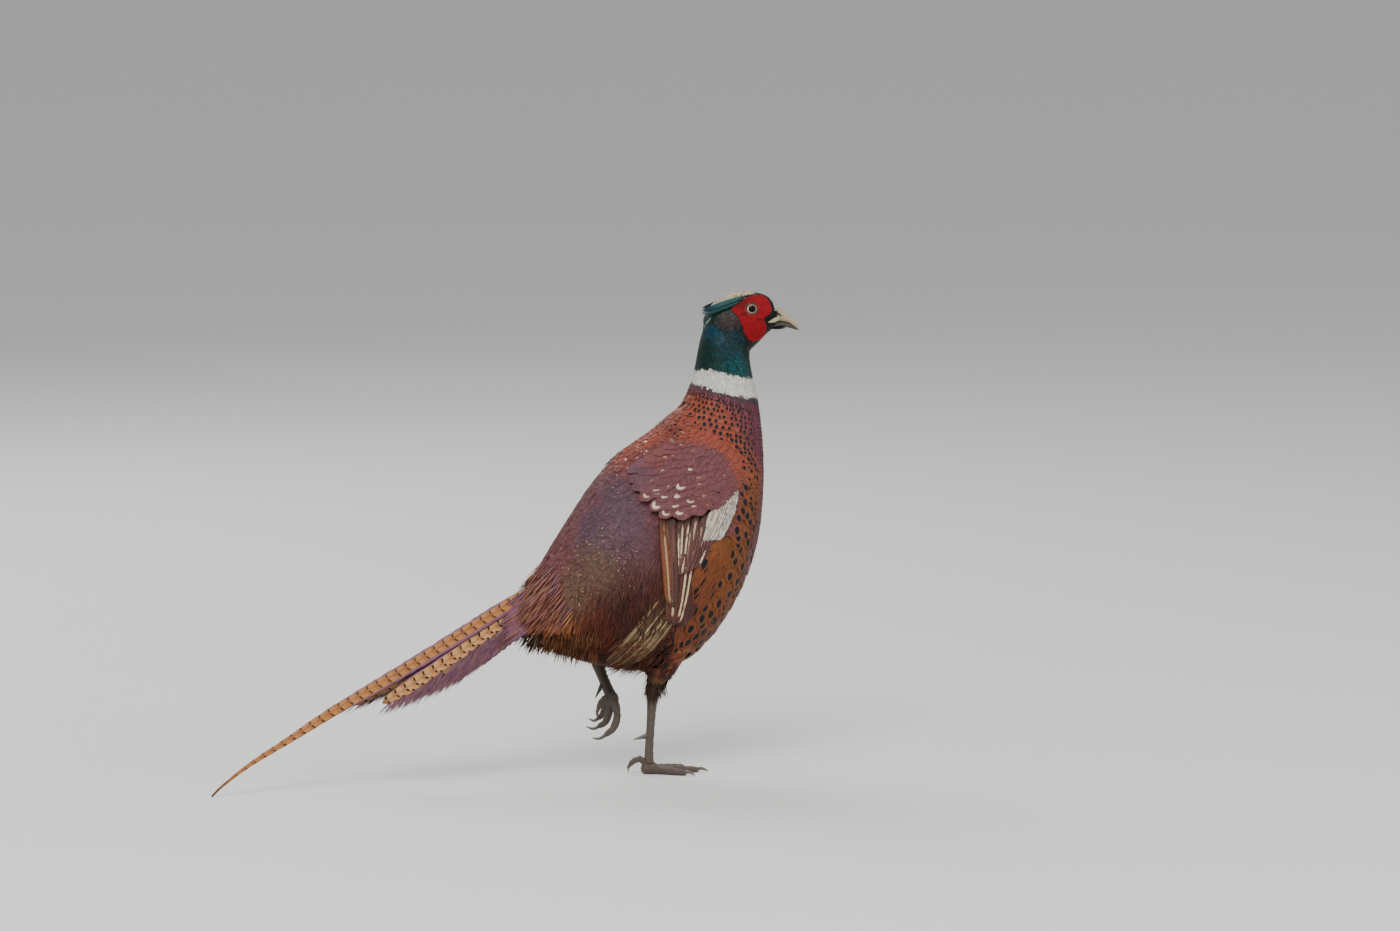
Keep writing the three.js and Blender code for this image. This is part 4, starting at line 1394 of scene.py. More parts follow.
@dataclass
class Tract:
    """Feathers in staggered rows over part of the skin.

    Attributes:
        name: The piece's name.
        span: The first and last s.
        size: How much of a feather shows along the lie, as rows of (s, millimetres).
        zone: The part of the skin.
        slot: The name of its finish, handed to `adopt`, which does not use it.
        overlap: Its whole length against what shows.
        broad: Half its width against what shows.
        rows: Points along each shaft.
        cut: The form of each feather.
        loose: How untidy the feathers lie, in radians.
        proud: Height of the tips over the solids.
        varied: How much the feathers' tints differ.
        between: The degrees from the back where they grow.
        hang: How much further the tips stand off.
    """

    name: str
    span: tuple[float, float]
    size: tuple[tuple[float, float], ...]
    zone: Zone = Zone.TRUNK
    slot: str = "plumage_copper"
    overlap: float = 2.7
    broad: float = 0.86
    rows: int = 8
    cut: Cut = BODY_CUT
    loose: float = 0.12
    proud: float = 0.25
    varied: float = 0.06
    between: tuple[float, float] = (0.0, 180.0)
    hang: float = 0.0

    def size_at(self, s: Array) -> Array:
        """What shows of a feather rooted at s."""
        table = np.array(self.size)
        return np.interp(s, table[:, 0], table[:, 1])

    def places(self) -> tuple[Array, Array]:
        """The roots as (s, angle): rows as far apart as the feathers show, each shifted by half a step."""
        surface = REGIONS[self.zone].surface
        found_s, found_angle = [], []
        for side in (RIGHT, LEFT):
            angle = np.radians(np.linspace(0, 180, 121)) * side
            s = np.linspace(self.span[1], self.span[0], 400)
            at = surface.on(s[:, None], angle[None, :])
            step = np.linalg.norm(np.diff(at, axis=0), axis=-1) / self.size_at(s[1:])[:, None]
            count = np.vstack([np.zeros(len(angle)), np.cumsum(step, axis=0)])
            for row in range(int(count.max())):
                row_s = np.array([np.interp(row, column, s, right=np.nan) for column in count.T])
                here = surface.on(np.nan_to_num(row_s), angle)
                gap = np.linalg.norm(np.diff(here, axis=0), axis=-1) / (1.12 * self.size_at(row_s[1:]))
                across = np.concatenate([[0], np.cumsum(np.nan_to_num(gap))])
                start = across[len(angle) // 2] % 1.0 + 0.5 * (row % 2)
                at_angle = np.interp(np.arange(start % 1.0, across[-1], 1.0), across, angle)
                at_s = np.interp(np.abs(at_angle), np.abs(angle), row_s)
                good = ~np.isnan(at_s)
                found_s.append(at_s[good])
                found_angle.append(at_angle[good])
        return np.concatenate(found_s), np.concatenate(found_angle)

    def build(self, skin: Skin, material: Finish, seed: int) -> None:
        """Makes the feathers and lays them on the skin."""
        rng = np.random.default_rng(seed)
        s, angle = self.places()
        size = self.size_at(s)
        surface = REGIONS[self.zone].surface
        s = s + rng.normal(0, self.loose * 0.25, len(s)) * size / 460.0
        angle = angle + rng.normal(0, self.loose * 0.25, len(s)) * size / 50.0
        roots = surface.on(s, angle)
        gap = skin.meet(roots).gap
        shown = gap < skin.depth_at(roots) + (3.0 if self.zone is Zone.HEAD else 1.6)
        degrees = np.abs(np.degrees(angle))
        shown &= (degrees >= self.between[0]) & (degrees <= self.between[1])
        s, angle, size, roots = s[shown], angle[shown], size[shown], roots[shown]
        count = len(s)
        length = size * self.overlap * rng.uniform(0.92, 1.08, count)
        middle, up = skin.trace(roots, length, self.rows, rng.normal(0, self.loose, count))
        u = np.linspace(0, 1, self.rows)[None, :]
        top = skin.depth_at(middle[:, -1]) + self.proud + rng.uniform(-0.05, 0.05, count)
        height = -0.2 + (top[:, None] + 0.2) * (1 - (1 - u) ** 1.8) + self.hang * u**3
        look = MARKINGS.look(self.zone, self._seen(s, angle, length), angle, middle[:, -2], rng)
        look.tint[:, :3] = np.clip(look.tint[:, :3] * (1 + rng.normal(0, self.varied, (count, 1))), 0, 1)
        half = size * self.broad
        bend = skin.round(middle, up, half[:, None] * self.cut.outline(u)) if half.max() > 1.6 else None
        vanes = Vanes(middle, up, half, look, unwrap(self.zone, s, angle), self.cut, height, bend)
        adopt(vanes.build(self.name, rng), material, self.slot)
        LOG.info("%s: %d feathers", self.name, count)

    def _seen(self, s: Array, angle: Array, length: Array) -> Array:
        """Where feathers rooted at s show: nearer their tips on the neck and the upper back."""
        if self.zone is not Zone.TRUNK:
            return s
        step = 2e-3
        pace = np.linalg.norm(TRUNK.on(s + step, angle) - TRUNK.on(s - step, angle), axis=-1) / (2 * step)
        back = band(s, 0.4, 0.6, 0.03) * ease(np.degrees(np.abs(angle)), 100, 90)
        return s - 0.8 * length / pace * np.maximum(ease(s, 0.64, 0.68), back)


HAIR = {"overlap": 7.0, "broad": 0.34, "rows": 7, "cut": HAIR_CUT, "loose": 0.2, "varied": 0.24}
FINE = HAIR | {"overlap": 4.6, "broad": 0.42, "cut": FINE_CUT, "varied": 0.06}
FLANK = HAIR | {"proud": 1.6, "hang": 1.4}
NECK = {"slot": "plumage_green"}
THIGH = {"slot": "plumage_thigh", "proud": 0.1}
THIGH_SPAN, THIGH_SIZE = (0.05, 0.97), ((0.0, 5.0), (1.0, 3.0))
BREAST_SIZE = ((0.22, 11.0), (0.45, 12.5), (0.51, 9.5), (0.555, 7.0))
HEAD_SIZE = ((0.0, 2.4), (0.6, 1.9), (1.0, 1.5))
TRACTS = (
    Tract("neck_feathers", (0.7, 0.99), ((0.7, 2.8), (0.8, 2.6), (0.99, 2.5)), rows=6, loose=0.08, **NECK),
    Tract("neck_hair", (0.69, 0.985), ((0.69, 2.1), (0.99, 2.0)), proud=0.38, **FINE | NECK),
    Tract("ruff_feathers", (0.53, 0.7), ((0.53, 6.4), (0.6, 5.4), (0.7, 3.6)), between=(0, 128)),
    Tract("front_feathers", (0.5, 0.7), ((0.4, 5.0), (0.6, 4.0), (0.7, 3.2)), between=(120, 180)),
    Tract("breast_feathers", (0.22, 0.555), BREAST_SIZE, between=(76, 180), broad=0.8),
    Tract("belly_feathers", (0.01, 0.28), ((0.01, 6.0), (0.28, 8.5)), between=(120, 180)),
    Tract("mantle_feathers", (0.3, 0.56), ((0.3, 6.2), (0.56, 6.2)), between=(0, 84)),
    Tract("back_feathers", (0.0, 0.33), ((0.0, 5.5), (0.33, 6.4)), between=(0, 145), loose=0.18),
    Tract("rump_hair", (0.0, 0.2), ((0.0, 3.6), (0.2, 3.9)), between=(0, 80), proud=0.4, hang=0.3, **HAIR),
    Tract("back_hair", (0.17, 0.4), ((0.17, 3.0), (0.4, 3.0)), between=(0, 80), proud=0.6, **FINE),
    Tract("mantle_hair", (0.38, 0.57), ((0.38, 3.2), (0.57, 3.2)), between=(0, 55), proud=0.55, **FINE),
    Tract("flank_hair", (0.0, 0.335), ((0.0, 3.4), (0.3, 3.8)), between=(76, 158), **FLANK),
    Tract("head_feathers", (0.03, 0.985), HEAD_SIZE, Zone.HEAD, rows=6, loose=0.1, proud=0.15, **NECK),
    Tract("thigh_right_feathers", THIGH_SPAN, THIGH_SIZE, Zone.THIGH_RIGHT, **THIGH),
    Tract("thigh_left_feathers", THIGH_SPAN, THIGH_SIZE, Zone.THIGH_LEFT, **THIGH),
)


@dataclass(frozen=True)
class Fringe:
    """Loose strands that hang free of the skin along an edge of the coat.

    Attributes:
        name: The piece's name.
        span: The first and last s.
        between: The degrees from the back.
        count: Strands on each side.
        length: The shortest and longest, in millimetres.
        way: Where they point, with the left side's outward way as y; turned with the head.
        tints: Their colours, the commonest first.
        half: Half the width of the narrowest and the widest.
        zone: The part of the skin where they grow.
        sink: How far under the surface they start.
        spread: How much their ways differ.
        rarer: How much rarer each colour is than the one before it.
    """

    name: str
    span: tuple[float, float]
    between: tuple[float, float]
    count: int
    length: tuple[float, float]
    way: tuple[float, float, float]
    tints: tuple[str, ...]
    half: tuple[float, float] = (0.5, 1.1)
    zone: Zone = Zone.TRUNK
    sink: float = 0.8
    spread: float = 0.16
    rarer: float = 0.62

    def build(self, material: Finish, seed: int) -> None:
        """Makes the strands."""
        rng = np.random.default_rng(seed)
        surface = REGIONS[self.zone].surface
        count, rows = self.count * 2, 8
        side = np.repeat([float(RIGHT), float(LEFT)], self.count)
        s = rng.uniform(*self.span, count)
        angle = side * np.radians(rng.uniform(*self.between, count))
        root = surface.on(s, angle, -self.sink)
        out = unit(surface.on(s, angle, 1.0) - root)
        way = np.array(self.way) * np.stack([np.ones(count), side, np.ones(count)], axis=-1)
        way = way + rng.normal(0, self.spread, (count, 3))
        way = unit(TURN.apply(root + way) - TURN.apply(root)) if self.zone is Zone.HEAD else unit(way)
        length = rng.uniform(*self.length, count)[:, None, None]
        u = np.linspace(0, 1, rows)[None, :, None]
        bow = out[:, None] * np.sin(u * 2.2) * length * 0.07
        middle = root[:, None] + way[:, None] * length * u + bow
        up = np.broadcast_to(out[:, None], middle.shape)
        odds = self.rarer ** np.arange(len(self.tints))
        tint = drawn(self.tints, odds / odds.sum(), count, rng)
        tint = np.clip(tint * (1 + rng.normal(0, 0.12, (count, 1))), 0, 1)
        look = Look.plain(tint, count, 0.1)
        half = rng.uniform(*self.half, count)
        vanes = Vanes(middle, up, half, look, unwrap(self.zone, s, angle), FRINGE_CUT)
        adopt(vanes.build(self.name, rng), material, FRINGE_SLOTS[self.zone])


FRINGE_SLOTS = {
    Zone.TRUNK: "plumage_copper",
    Zone.HEAD: "plumage_green",
    Zone.THIGH_RIGHT: "plumage_thigh",
    Zone.THIGH_LEFT: "plumage_thigh",
}
RUSSET = ("673c22", "472819", "85552f")
ROSE = ("946058", "985f48", "a47046", "86606a")
BROWN = ("673a22", "54301e", "7a482a")
DUN = ("3a2a20", "54412f", "8f7f62")
SHADOW = ("0b1413", "10201c")
SHANK = ("47342a", "553d2c", "35261d")
KNEE = ("4a3526", "a39a8c", "3b291c")
BACKWARDS = (-0.68, 0.06, -0.74)
LORES = {"half": (0.3, 0.55), "zone": Zone.HEAD, "sink": 0.3}
CHIN = {"half": (0.3, 0.6), "zone": Zone.HEAD, "sink": 0.4, "spread": 0.06}
AROUND = (0, 180)
THIN = (0.4, 0.8)
FRINGES = (
    Fringe("flank_fringe", (0.045, 0.17), (114, 142), 420, (9, 19), (-0.3, 0.1, -1), RUSSET, (0.4, 0.9)),
    Fringe("rump_flow", (0.01, 0.12), (0, 95), 300, (14, 28), BACKWARDS, ROSE, (0.45, 1.0), spread=0.08),
    Fringe("groin_fringe", (0.21, 0.285), (122, 168), 260, (9, 17), (-0.85, 0.05, -0.5), BROWN, spread=0.1),
    Fringe("vent_fringe", (0.0, 0.035), (110, 165), 34, (10, 22), (-0.6, 0.05, -1), DUN),
    Fringe("thigh_fringe", (0.72, 0.93), AROUND, 130, (8, 15), (-0.1, 0, -1), SHANK, THIN, Zone.THIGH_RIGHT),
    Fringe("knee_fringe", (0.6, 0.97), AROUND, 120, (8, 16), (-0.25, 0, -1), KNEE, THIN, Zone.THIGH_LEFT),
    Fringe("chin_bristles", (0.9, 0.985), (158, 180), 90, (6, 12), (1, 0, 0.1), SHADOW, **CHIN),
    Fringe("lores_bristles", (0.95, 0.985), (48, 84), 16, (1.5, 2.4), (1, 0, -0.1), SHADOW, **LORES),
)


# The wings


@dataclass(frozen=True)
class FlightLook:
    """How the feathers of one layer are coloured, from its first feather to its last.

    Attributes:
        tints: The ground colours across the layer.
        mark: The colour of the streaks and chevrons.
        streak: How strong the streak along each feather is.
        chevron: How strong the chevrons are.
        pale: How pale the edges are.
        mottle: How flecked it is.
        aim: How far off the shaft the streaks lie, as a share of half the width.
    """

    tints: tuple[str, ...]
    mark: str
    streak: float = 0.6
    chevron: float = 0.0
    pale: float = 0.0
    mottle: float = 0.0
    aim: float = 0.6

    def dress(self, share: Array, rng: Chance) -> Look:
        """The colours of feathers at so much of the way across the layer."""
        count = len(share)
        tints = np.array([colour(code) for code in self.tints])
        knots = np.linspace(0, 1, len(tints))
        tint = np.stack([np.interp(share, knots, tints[:, k]) for k in range(4)], axis=-1)
        tint = np.clip(tint * (1 + rng.normal(0, 0.08, (count, 1))), 0, 1)
        mark = np.tile(colour(self.mark), (count, 1)) * (1 + rng.normal(0, 0.06, (count, 1)))
        streak = self.streak * rng.uniform(0.75, 1.0, count)
        form = np.stack([streak, np.full(count, self.chevron), np.full(count, self.pale)], axis=-1)
        aim = rng.uniform(-self.aim, self.aim, count)
        grain = np.stack([np.full(count, self.mottle), aim, np.full(count, 0.1)], axis=-1)
        return Look(tint, np.clip(mark, 0, 1), form, grain)


@dataclass(frozen=True)
class Sheet:
    """A layer of the folded wing, drawn on the trunk by lines that its feathers fan between.

    Attributes:
        name: What its feathers are.
        count: Feathers side by side.
        half: Half the width of each.
        look: Their colours, or nothing where they take the body's.
        lines: Each line's places (s, degrees from the back, lift) at its root, middle and tip, from the
            lowest on the flank to the nearest to the back.
        ranks: Rows from root to tip.
        span: The share of the line that each feather covers.
        first: Where along the line the first row's tips lie, or nothing for an even spread.
        tilt: How much higher its lower edge lies, for each millimetre across.
        rise: How deep the roots lie under the layer.
        rows: Points along each shaft.
        cut: The form of each feather.
        shoulder: Whether the body's colours are those of the shoulder, with cream crescents.
        bend, tip, raised: The left wing's tip is turned this many degrees up, from the bend of the wing.
    """

    name: str
    count: int
    half: float
    look: FlightLook | None
    lines: tuple[tuple[tuple[float, float, float], ...], ...]
    ranks: int = 1
    span: float = 1.0
    first: float | None = None
    tilt: float = 0.1
    rise: float = 0.5
    rows: int = 14
    cut: Cut = WING_CUT
    shoulder: bool = False
    bend: float = 0.53
    tip: float = 0.19
    raised: float = 20.0

    def knots(self, across: Array) -> Array:
        """The root, middle and tip of the lines at so much of the way across."""
        knots = np.array(self.lines, float)
        return Spline(knots.reshape(len(knots), -1))(across).reshape(-1, 3, 3)

    def on(self, side: int, across: Array, along: Array, lift: float = 0.0) -> Array:
        """Places on the layer.

        Args:
            side: RIGHT or LEFT.
            across: 0 on the first line to 1 on the last, one for each feather.
            along: 0 at the root to 1 at the tip, a row for each feather.
            lift: Height over the layer.

        Returns:
            The points.
        """
        lines = self.knots(across)
        t = along[..., None]
        root, middle, tip = (lines[:, None, k] for k in range(3))
        places = 2 * (t - 0.5) * (t - 1) * root + 4 * t * (1 - t) * middle + 2 * t * (t - 0.5) * tip
        s, degrees, height = places[..., 0], places[..., 1], places[..., 2]
        if side == LEFT:
            degrees = degrees - self.raised * np.clip((self.bend - s) / (self.bend - self.tip), 0, 1)
        return TRUNK.on(s, side * np.radians(degrees), height + lift)

    def places(self, rng: Chance) -> tuple[Array, Array]:
        """Where the feathers lie across the layer, and how far along their lines they end."""
        if self.ranks == 1:
            return np.arange(self.count) / (self.count - 1), np.ones(self.count)
        first = self.first if self.first is not None else self.span + (1 - self.span) / self.ranks
        across, ends = [], []
        for rank in range(self.ranks):
            row = (np.arange(self.count) + 0.5 * (rank % 2)) / (self.count - 1)
            row = row[row <= 1.0]
            across.append(row)
            ends.append(np.full(len(row), first + (1 - first) * rank / (self.ranks - 1)))
        share, end = np.concatenate(across), np.concatenate(ends)
        share = np.clip(share + rng.normal(0, 0.12 / self.count, len(share)), 0, 1)
        return share, np.clip(end + rng.normal(0, 0.012, len(end)), 0, 1.0)

    def build(self, side: int, material: Finish, rng: Chance) -> Piece:
        """Makes the layer of one wing, with the material given."""
        share, end = self.places(rng)
        u = np.linspace(0, 1, self.rows)
        along = (end - self.span)[:, None] + self.span * u[None, :]
        middle = self.on(side, share, along)
        up = unit(self.on(side, share, along, 1.0) - middle)
        aside = unit(np.cross(unit(np.gradient(middle, axis=1)), up))
        up = unit(up - side * self.tilt * aside)
        height = np.tile(self.rise * (u - 1), (len(end), 1)) + rng.uniform(-0.06, 0.06, (len(end), 1))
        look = self.look.dress(share, rng) if self.look else self._body_look(share, end, side, rng)
        root = unwrap(Zone.TRUNK, 0.3 + 0.2 * (1 - end), side * (1.0 + share))
        half = self.half * rng.uniform(0.93, 1.05, len(end))
        vanes = Vanes(middle, up, half, look, root, self.cut, height)
        piece = vanes.build(f"{self.name}_{SIDES[side]}", rng)
        adopt(piece, material, "plumage_wing")
        return piece

    def _body_look(self, share: Array, end: Array, side: int, rng: Chance) -> Look:
        """Colours like the body's where the layer lies; the scapulars have cream crescents."""
        lines = self.knots(share)
        s, degrees, _ = (lines[:, 0] + (lines[:, 2] - lines[:, 0]) * end[:, None]).T
        at = self.on(side, share, end[:, None])[:, 0]
        look = MARKINGS.look(Zone.TRUNK, s, np.radians(degrees) * side, at, rng)
        if self.shoulder:
            return MARKINGS.scapular(look, s, degrees, rng)
        look.form[:, 1] = 0.8 * (rng.random(len(s)) < 0.5)
        return look


COVER_CUT = replace(WING_CUT, outline=rounded, thick=0.1, cup=0.09, even=0.8)
PRIMARY = FlightLook(("5d4632", "4f3a29", "5a4330"), "bda477", pale=0.45, aim=0.7)
SECONDARY = FlightLook(("522a26", "4c2826", "563026"), "cdb98f", 0.95, mottle=0.06)
COVERT = FlightLook(("5e3436", "583032", "603632"), "cdbd9b", 1.0, 0.08, mottle=0.06)
TERTIAL = FlightLook(("4a2a28", "56302a", "6c3a22"), "bda680", chevron=0.1)
PALE = FlightLook(("d4cdbf", "bfb4a2"), "5c463c", mottle=0.3, aim=0.5)
FLANK_LINES = (
    ((0.455, 110, 0.4), (0.41, 114, 1.2), (0.362, 122, 1.0)),
    ((0.45, 103, 1.0), (0.408, 106, 3.0), (0.358, 114, 3.4)),
    ((0.445, 98, 2.2), (0.408, 98, 4.2), (0.362, 107, 4.4)),
)
PRIMARY_LINES = (
    ((0.37, 108, 1.0), (0.275, 131, 2.0), (0.2, 172, 3.4)),
    ((0.345, 98, 0.9), (0.25, 116, 1.1), (0.182, 150, 3.0)),
)
SECONDARY_LINES = (
    ((0.43, 97, 1.2), (0.38, 108, 1.9), (0.335, 124, 2.0)),
    ((0.40, 90, 1.6), (0.358, 106, 3.0), (0.325, 121, 3.3)),
    ((0.354, 76, 2.2), (0.330, 96, 4.0), (0.308, 117, 4.2)),
)
COVERT_LINES = (
    ((0.475, 90, 1.6), (0.435, 95, 2.6), (0.397, 101, 3.2)),
    ((0.435, 80, 2.0), (0.4, 89, 4.0), (0.367, 98, 4.4)),
    ((0.375, 66, 2.6), (0.352, 80, 5.0), (0.335, 94, 5.4)),
)
TERTIAL_LINES = (
    ((0.372, 70, 3.2), (0.345, 88, 5.6), (0.322, 109, 5.2)),
    ((0.356, 65, 3.2), (0.334, 83, 5.6), (0.314, 106, 5.0)),
)
PALE_LINES = (
    ((0.525, 95, 1.0), (0.475, 97, 2.4), (0.425, 98.5, 3.2)),
    ((0.50, 82, 1.4), (0.45, 84, 3.6), (0.398, 90, 4.6)),
)
SHOULDER_LINES = (
    ((0.55, 98, 0.2), (0.52, 94, 1.6), (0.488, 89, 3.2)),
    ((0.55, 82, 0.2), (0.488, 82, 3.0), (0.42, 79, 5.8)),
    ((0.545, 64, 0.2), (0.45, 65, 3.8), (0.35, 65, 7.2)),
    ((0.53, 47, 0.2), (0.43, 47, 3.2), (0.327, 46, 5.4)),
    ((0.5, 31, 0.2), (0.42, 30, 1.2), (0.335, 27, 1.6)),
)
FLAT = {"rows": 8, "tilt": 0.02}
SHOULDER = FLAT | {"rise": 1.3, "cut": replace(COVER_CUT, even=0.85, columns=FIVE), "shoulder": True}
WING = (
    Sheet("flank_cover", 6, 6.4, None, FLANK_LINES, ranks=5, span=0.42, rise=0.9, cut=COVER_CUT, **FLAT),
    Sheet("primaries", 8, 3.8, PRIMARY, PRIMARY_LINES),
    Sheet("secondaries", 12, 5.2, SECONDARY, SECONDARY_LINES),
    Sheet("long_coverts", 10, 4.2, COVERT, COVERT_LINES, ranks=3, span=0.6),
    Sheet("tertials", 3, 4.2, TERTIAL, TERTIAL_LINES),
    Sheet("pale_coverts", 6, 4.6, PALE, PALE_LINES, ranks=4, span=0.5, cut=replace(WING_CUT, ragged=0.2)),
    Sheet("scapulars", 11, 6.8, None, SHOULDER_LINES, ranks=17, span=0.24, first=0.07, **SHOULDER),
)


# The tail


@dataclass(frozen=True)
class Ridge:
    """The line down the middle of the tail, by the share of its length."""

    points: tuple[tuple[float, float], ...] = (
        (-118, 184),
        (-138, 172.7),
        (-176, 151.4),
        (-226, 123.6),
        (-275, 97.6),
        (-318, 75.3),
        (-366, 48),
        (-399, 29.3),
        (-426, 10.5),
        (-437, 0.6),
    )
    fine: int = 600

    def length(self) -> float:
        """Its whole length."""
        return float(travelled(Spline(self.points)(np.linspace(0, 1, self.fine)))[-1])

    def at(self, share: Array) -> Array:
        """Points at shares of its length."""
        t = np.linspace(0, 1, self.fine)
        line = Spline(self.points)
        run = travelled(line(t))
        flat = line(np.interp(np.asarray(share) * run[-1], run, t))
        return np.stack([flat[..., 0], np.zeros(flat.shape[:-1]), flat[..., 1]], axis=-1)


@dataclass(frozen=True)
class Slope:
    """One side of the tail.

    Attributes:
        side: RIGHT or LEFT.
        lengths: The length of each feather, from the one under the longest to the lowest.
        down: How far down the slope feathers evenly spread over it start and end.
        angle: How steep the slope is.
    """

    side: int
    lengths: tuple[float, ...]
    down: tuple[tuple[float, float], ...]
    angle: float = math.radians(54)

    def frame(self) -> tuple[Array, Array]:
        """The way down the slope, and the way that it faces."""
        aside, tall = math.cos(self.angle), math.sin(self.angle)
        return np.array([0, self.side * aside, -tall]), np.array([0, self.side * tall, aside])


@dataclass(frozen=True)
class Tail:
    """The barred tail: a long middle feather over the two slopes of shorter ones, with loose fringes."""

    ridge: Ridge = Ridge()
    slopes: tuple[Slope, ...] = (
        Slope(
            RIGHT,
            (178, 167, 157, 147, 137, 124, 112, 98, 88),
            ((6, 20), (10, 25), (13, 28.5), (16, 31.5), (19, 33)),
        ),
        Slope(
            LEFT,
            (205, 185, 165, 150, 138, 125, 112, 98, 86),
            ((6, 8), (10, 14), (13, 20), (16, 26), (19, 30)),
        ),
    )
    half: float = 8.0
    under: float = 0.56
    bar_gap: float = 10.6
    long_half: float = 8.6
    long_tilt: float = math.radians(32)
    taper: tuple[float, ...] = (0.6, 1, 1, 0.98, 0.9, 0.72, 0.5, 0.3, 0.12)
    barbs: int = 1500
    barb_tints: tuple[str, ...] = ("8c6078", "775064", "a07064", "a3805c")
    coverts: int = 300
    covert_tints: tuple[str, ...] = ("8a5a60", "80566c", "9c6440", "6a4456")

    def build(self, vane: Finish, plumage: Finish, rng: Chance) -> None:
        """Makes the feathers and their fringes."""
        longest = self._middle(vane, rng)
        for slope in self.slopes:
            self._feathers(slope, vane, rng)
            self._fringe(slope, plumage, rng)
            self._root_hair(slope, plumage, rng)
        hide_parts("tail")

    def _look(self, form: Sequence[float], grain: Sequence[float], length: Array) -> Look:
        """Barred feathers of these lengths: form (fringe, bars, dark tip) and grain (maroon, paleness)."""
        count = len(length)
        look = Look.plain(np.ones(4), count)
        look.form = np.tile(np.array(form, float), (count, 1))
        look.grain = np.column_stack([np.tile(np.array(grain, float), (count, 1)), length / self.bar_gap])
        return look

    def _middle(self, material: Finish, rng: Chance) -> Piece:
        """The longest feather, down to the floor, lying on the left slope's top."""
        line = self.ridge.at(np.linspace(0, 1, 90))[None]
        up = np.broadcast_to([0, -math.sin(self.long_tilt), math.cos(self.long_tilt)], line.shape)
        width = Spline([[w] for w in self.taper])
        look = self._look((0.36, 0.9, 0.8), (0.14, 0.05), np.array([self.ridge.length()]))
        root = unwrap(Zone.TRUNK, np.zeros(1), np.zeros(1))
        cut = Cut(lambda t: width(t)[..., 0], 0.8, 0.12, 0.07, columns=tuple(np.linspace(-1, 1, 11)))
        vanes = Vanes(line, up, np.array([self.long_half]), look, root, cut, 0.25)
        piece = vanes.build("tail_long_feather", rng)
        adopt(piece, material, "plumage_tail")
        return piece

    def _shaft(self, slope: Slope, below: float, u: Array) -> Array:
        """The shaft of a feather so many below the middle one."""
        out, face = slope.frame()
        first, last = Spline(slope.down)(below / (len(slope.lengths) - 1))
        share = float(np.interp(below, range(len(slope.lengths)), slope.lengths)) / self.ridge.length()
        spread = first + (last - first) * np.sqrt(u)
        return self.ridge.at(u * share) + out * spread[:, None] - face * self.under * (below + 1)

    def _feathers(self, slope: Slope, material: Finish, rng: Chance) -> None:
        """The shorter feathers of one slope."""
        u = np.linspace(0, 1, 44)
        count = len(slope.lengths)
        middle = np.stack([self._shaft(slope, float(below), u) for below in range(count)])
        up = np.broadcast_to(slope.frame()[1], middle.shape)
        look = self._look((0.4, 1.0, 0.2), (0.0, 0.25), np.array(slope.lengths))
        rank = np.arange(count)
        look.grain[:, 1] = 0.1 + 0.25 * (rank < 3)
        look.grain[:, 0] = np.where(rank % 3 == 2, 0.25, 0.0)
        look.form[:, 0] = np.interp(rank, [0, count - 1], [0.3, 0.85])
        height = 0.1 + rng.uniform(-0.05, 0.05, (count, 1))
        root = unwrap(Zone.TRUNK, np.full(count, 0.01), slope.side * np.linspace(0.2, 1.2, count))
        half = self.half * rng.uniform(0.92, 1.03, count)
        cut = Cut(quill, 0.5, 0.1, 0.1, columns=tuple(np.linspace(-1, 1, 9)))
        vanes = Vanes(middle, up, half, look, root, cut, height)
        adopt(vanes.build(f"tail_feathers_{SIDES[slope.side]}", rng), material, "plumage_tail")

    def _fringe(self, slope: Slope, material: Finish, rng: Chance) -> None:
        """Loose barbs along the outer edges and the ends of one slope's feathers."""
        count = self.barbs
        below = rng.uniform(0, len(slope.lengths) - 1, count)
        t = rng.uniform(0.12, 1.0, count) ** 0.8
        u = np.linspace(0, 1, 6)
        out, face = slope.frame()
        middle = []
        for b, start in zip(below, t):
            at = self._shaft(slope, float(b), np.array([max(start - 0.03, 0.0), start]))
            way = unit(at[1] - at[0])
            length = rng.uniform(7, 13) * (1.0 if start < 0.9 else 1.4)
            lean = rng.uniform(0.25, 0.5)
            reach = self.half * float(quill(np.array(start))) * 0.75
            line = at[1] + out * reach + (way * math.cos(lean) + out * math.sin(lean)) * (length * u)[:, None]
            middle.append(line + face * rng.uniform(-0.3, 0.3))
        tint = drawn(self.barb_tints, (0.45, 0.3, 0.15, 0.1), count, rng)
        half = rng.uniform(0.25, 0.5, count)
        self._loose("tail_fringe", slope, middle, tint, half, below / 10, 0.1, material, rng)

    def _root_hair(self, slope: Slope, material: Finish, rng: Chance) -> None:
        """Long loose coverts over the root of the tail."""
        count = self.coverts
        u = np.linspace(0, 1, 8)
        out, face = slope.frame()
        drop = np.where(rng.random(count) < 0.8, rng.uniform(15, 36, count), rng.uniform(-2, 15, count))
        start = rng.uniform(-0.01, 0.05, count)
        middle = []
        for d, s in zip(drop, start):
            length = rng.uniform(18, 34) / self.ridge.length()
            fall = d + 4 * u[:, None] * rng.uniform(-0.3, 1)
            line = self.ridge.at(np.clip(s + u * length, 0, 1)) + out * fall
            middle.append(line + face * (0.6 + 0.9 * np.sin(u * math.pi)[:, None] + rng.uniform(0, 0.5)))
        tint = drawn(self.covert_tints, (0.35, 0.3, 0.15, 0.2), count, rng)
        half = rng.uniform(0.8, 1.6, count)
        self._loose("tail_coverts", slope, middle, tint, half, drop / 40, 0.15, material, rng)

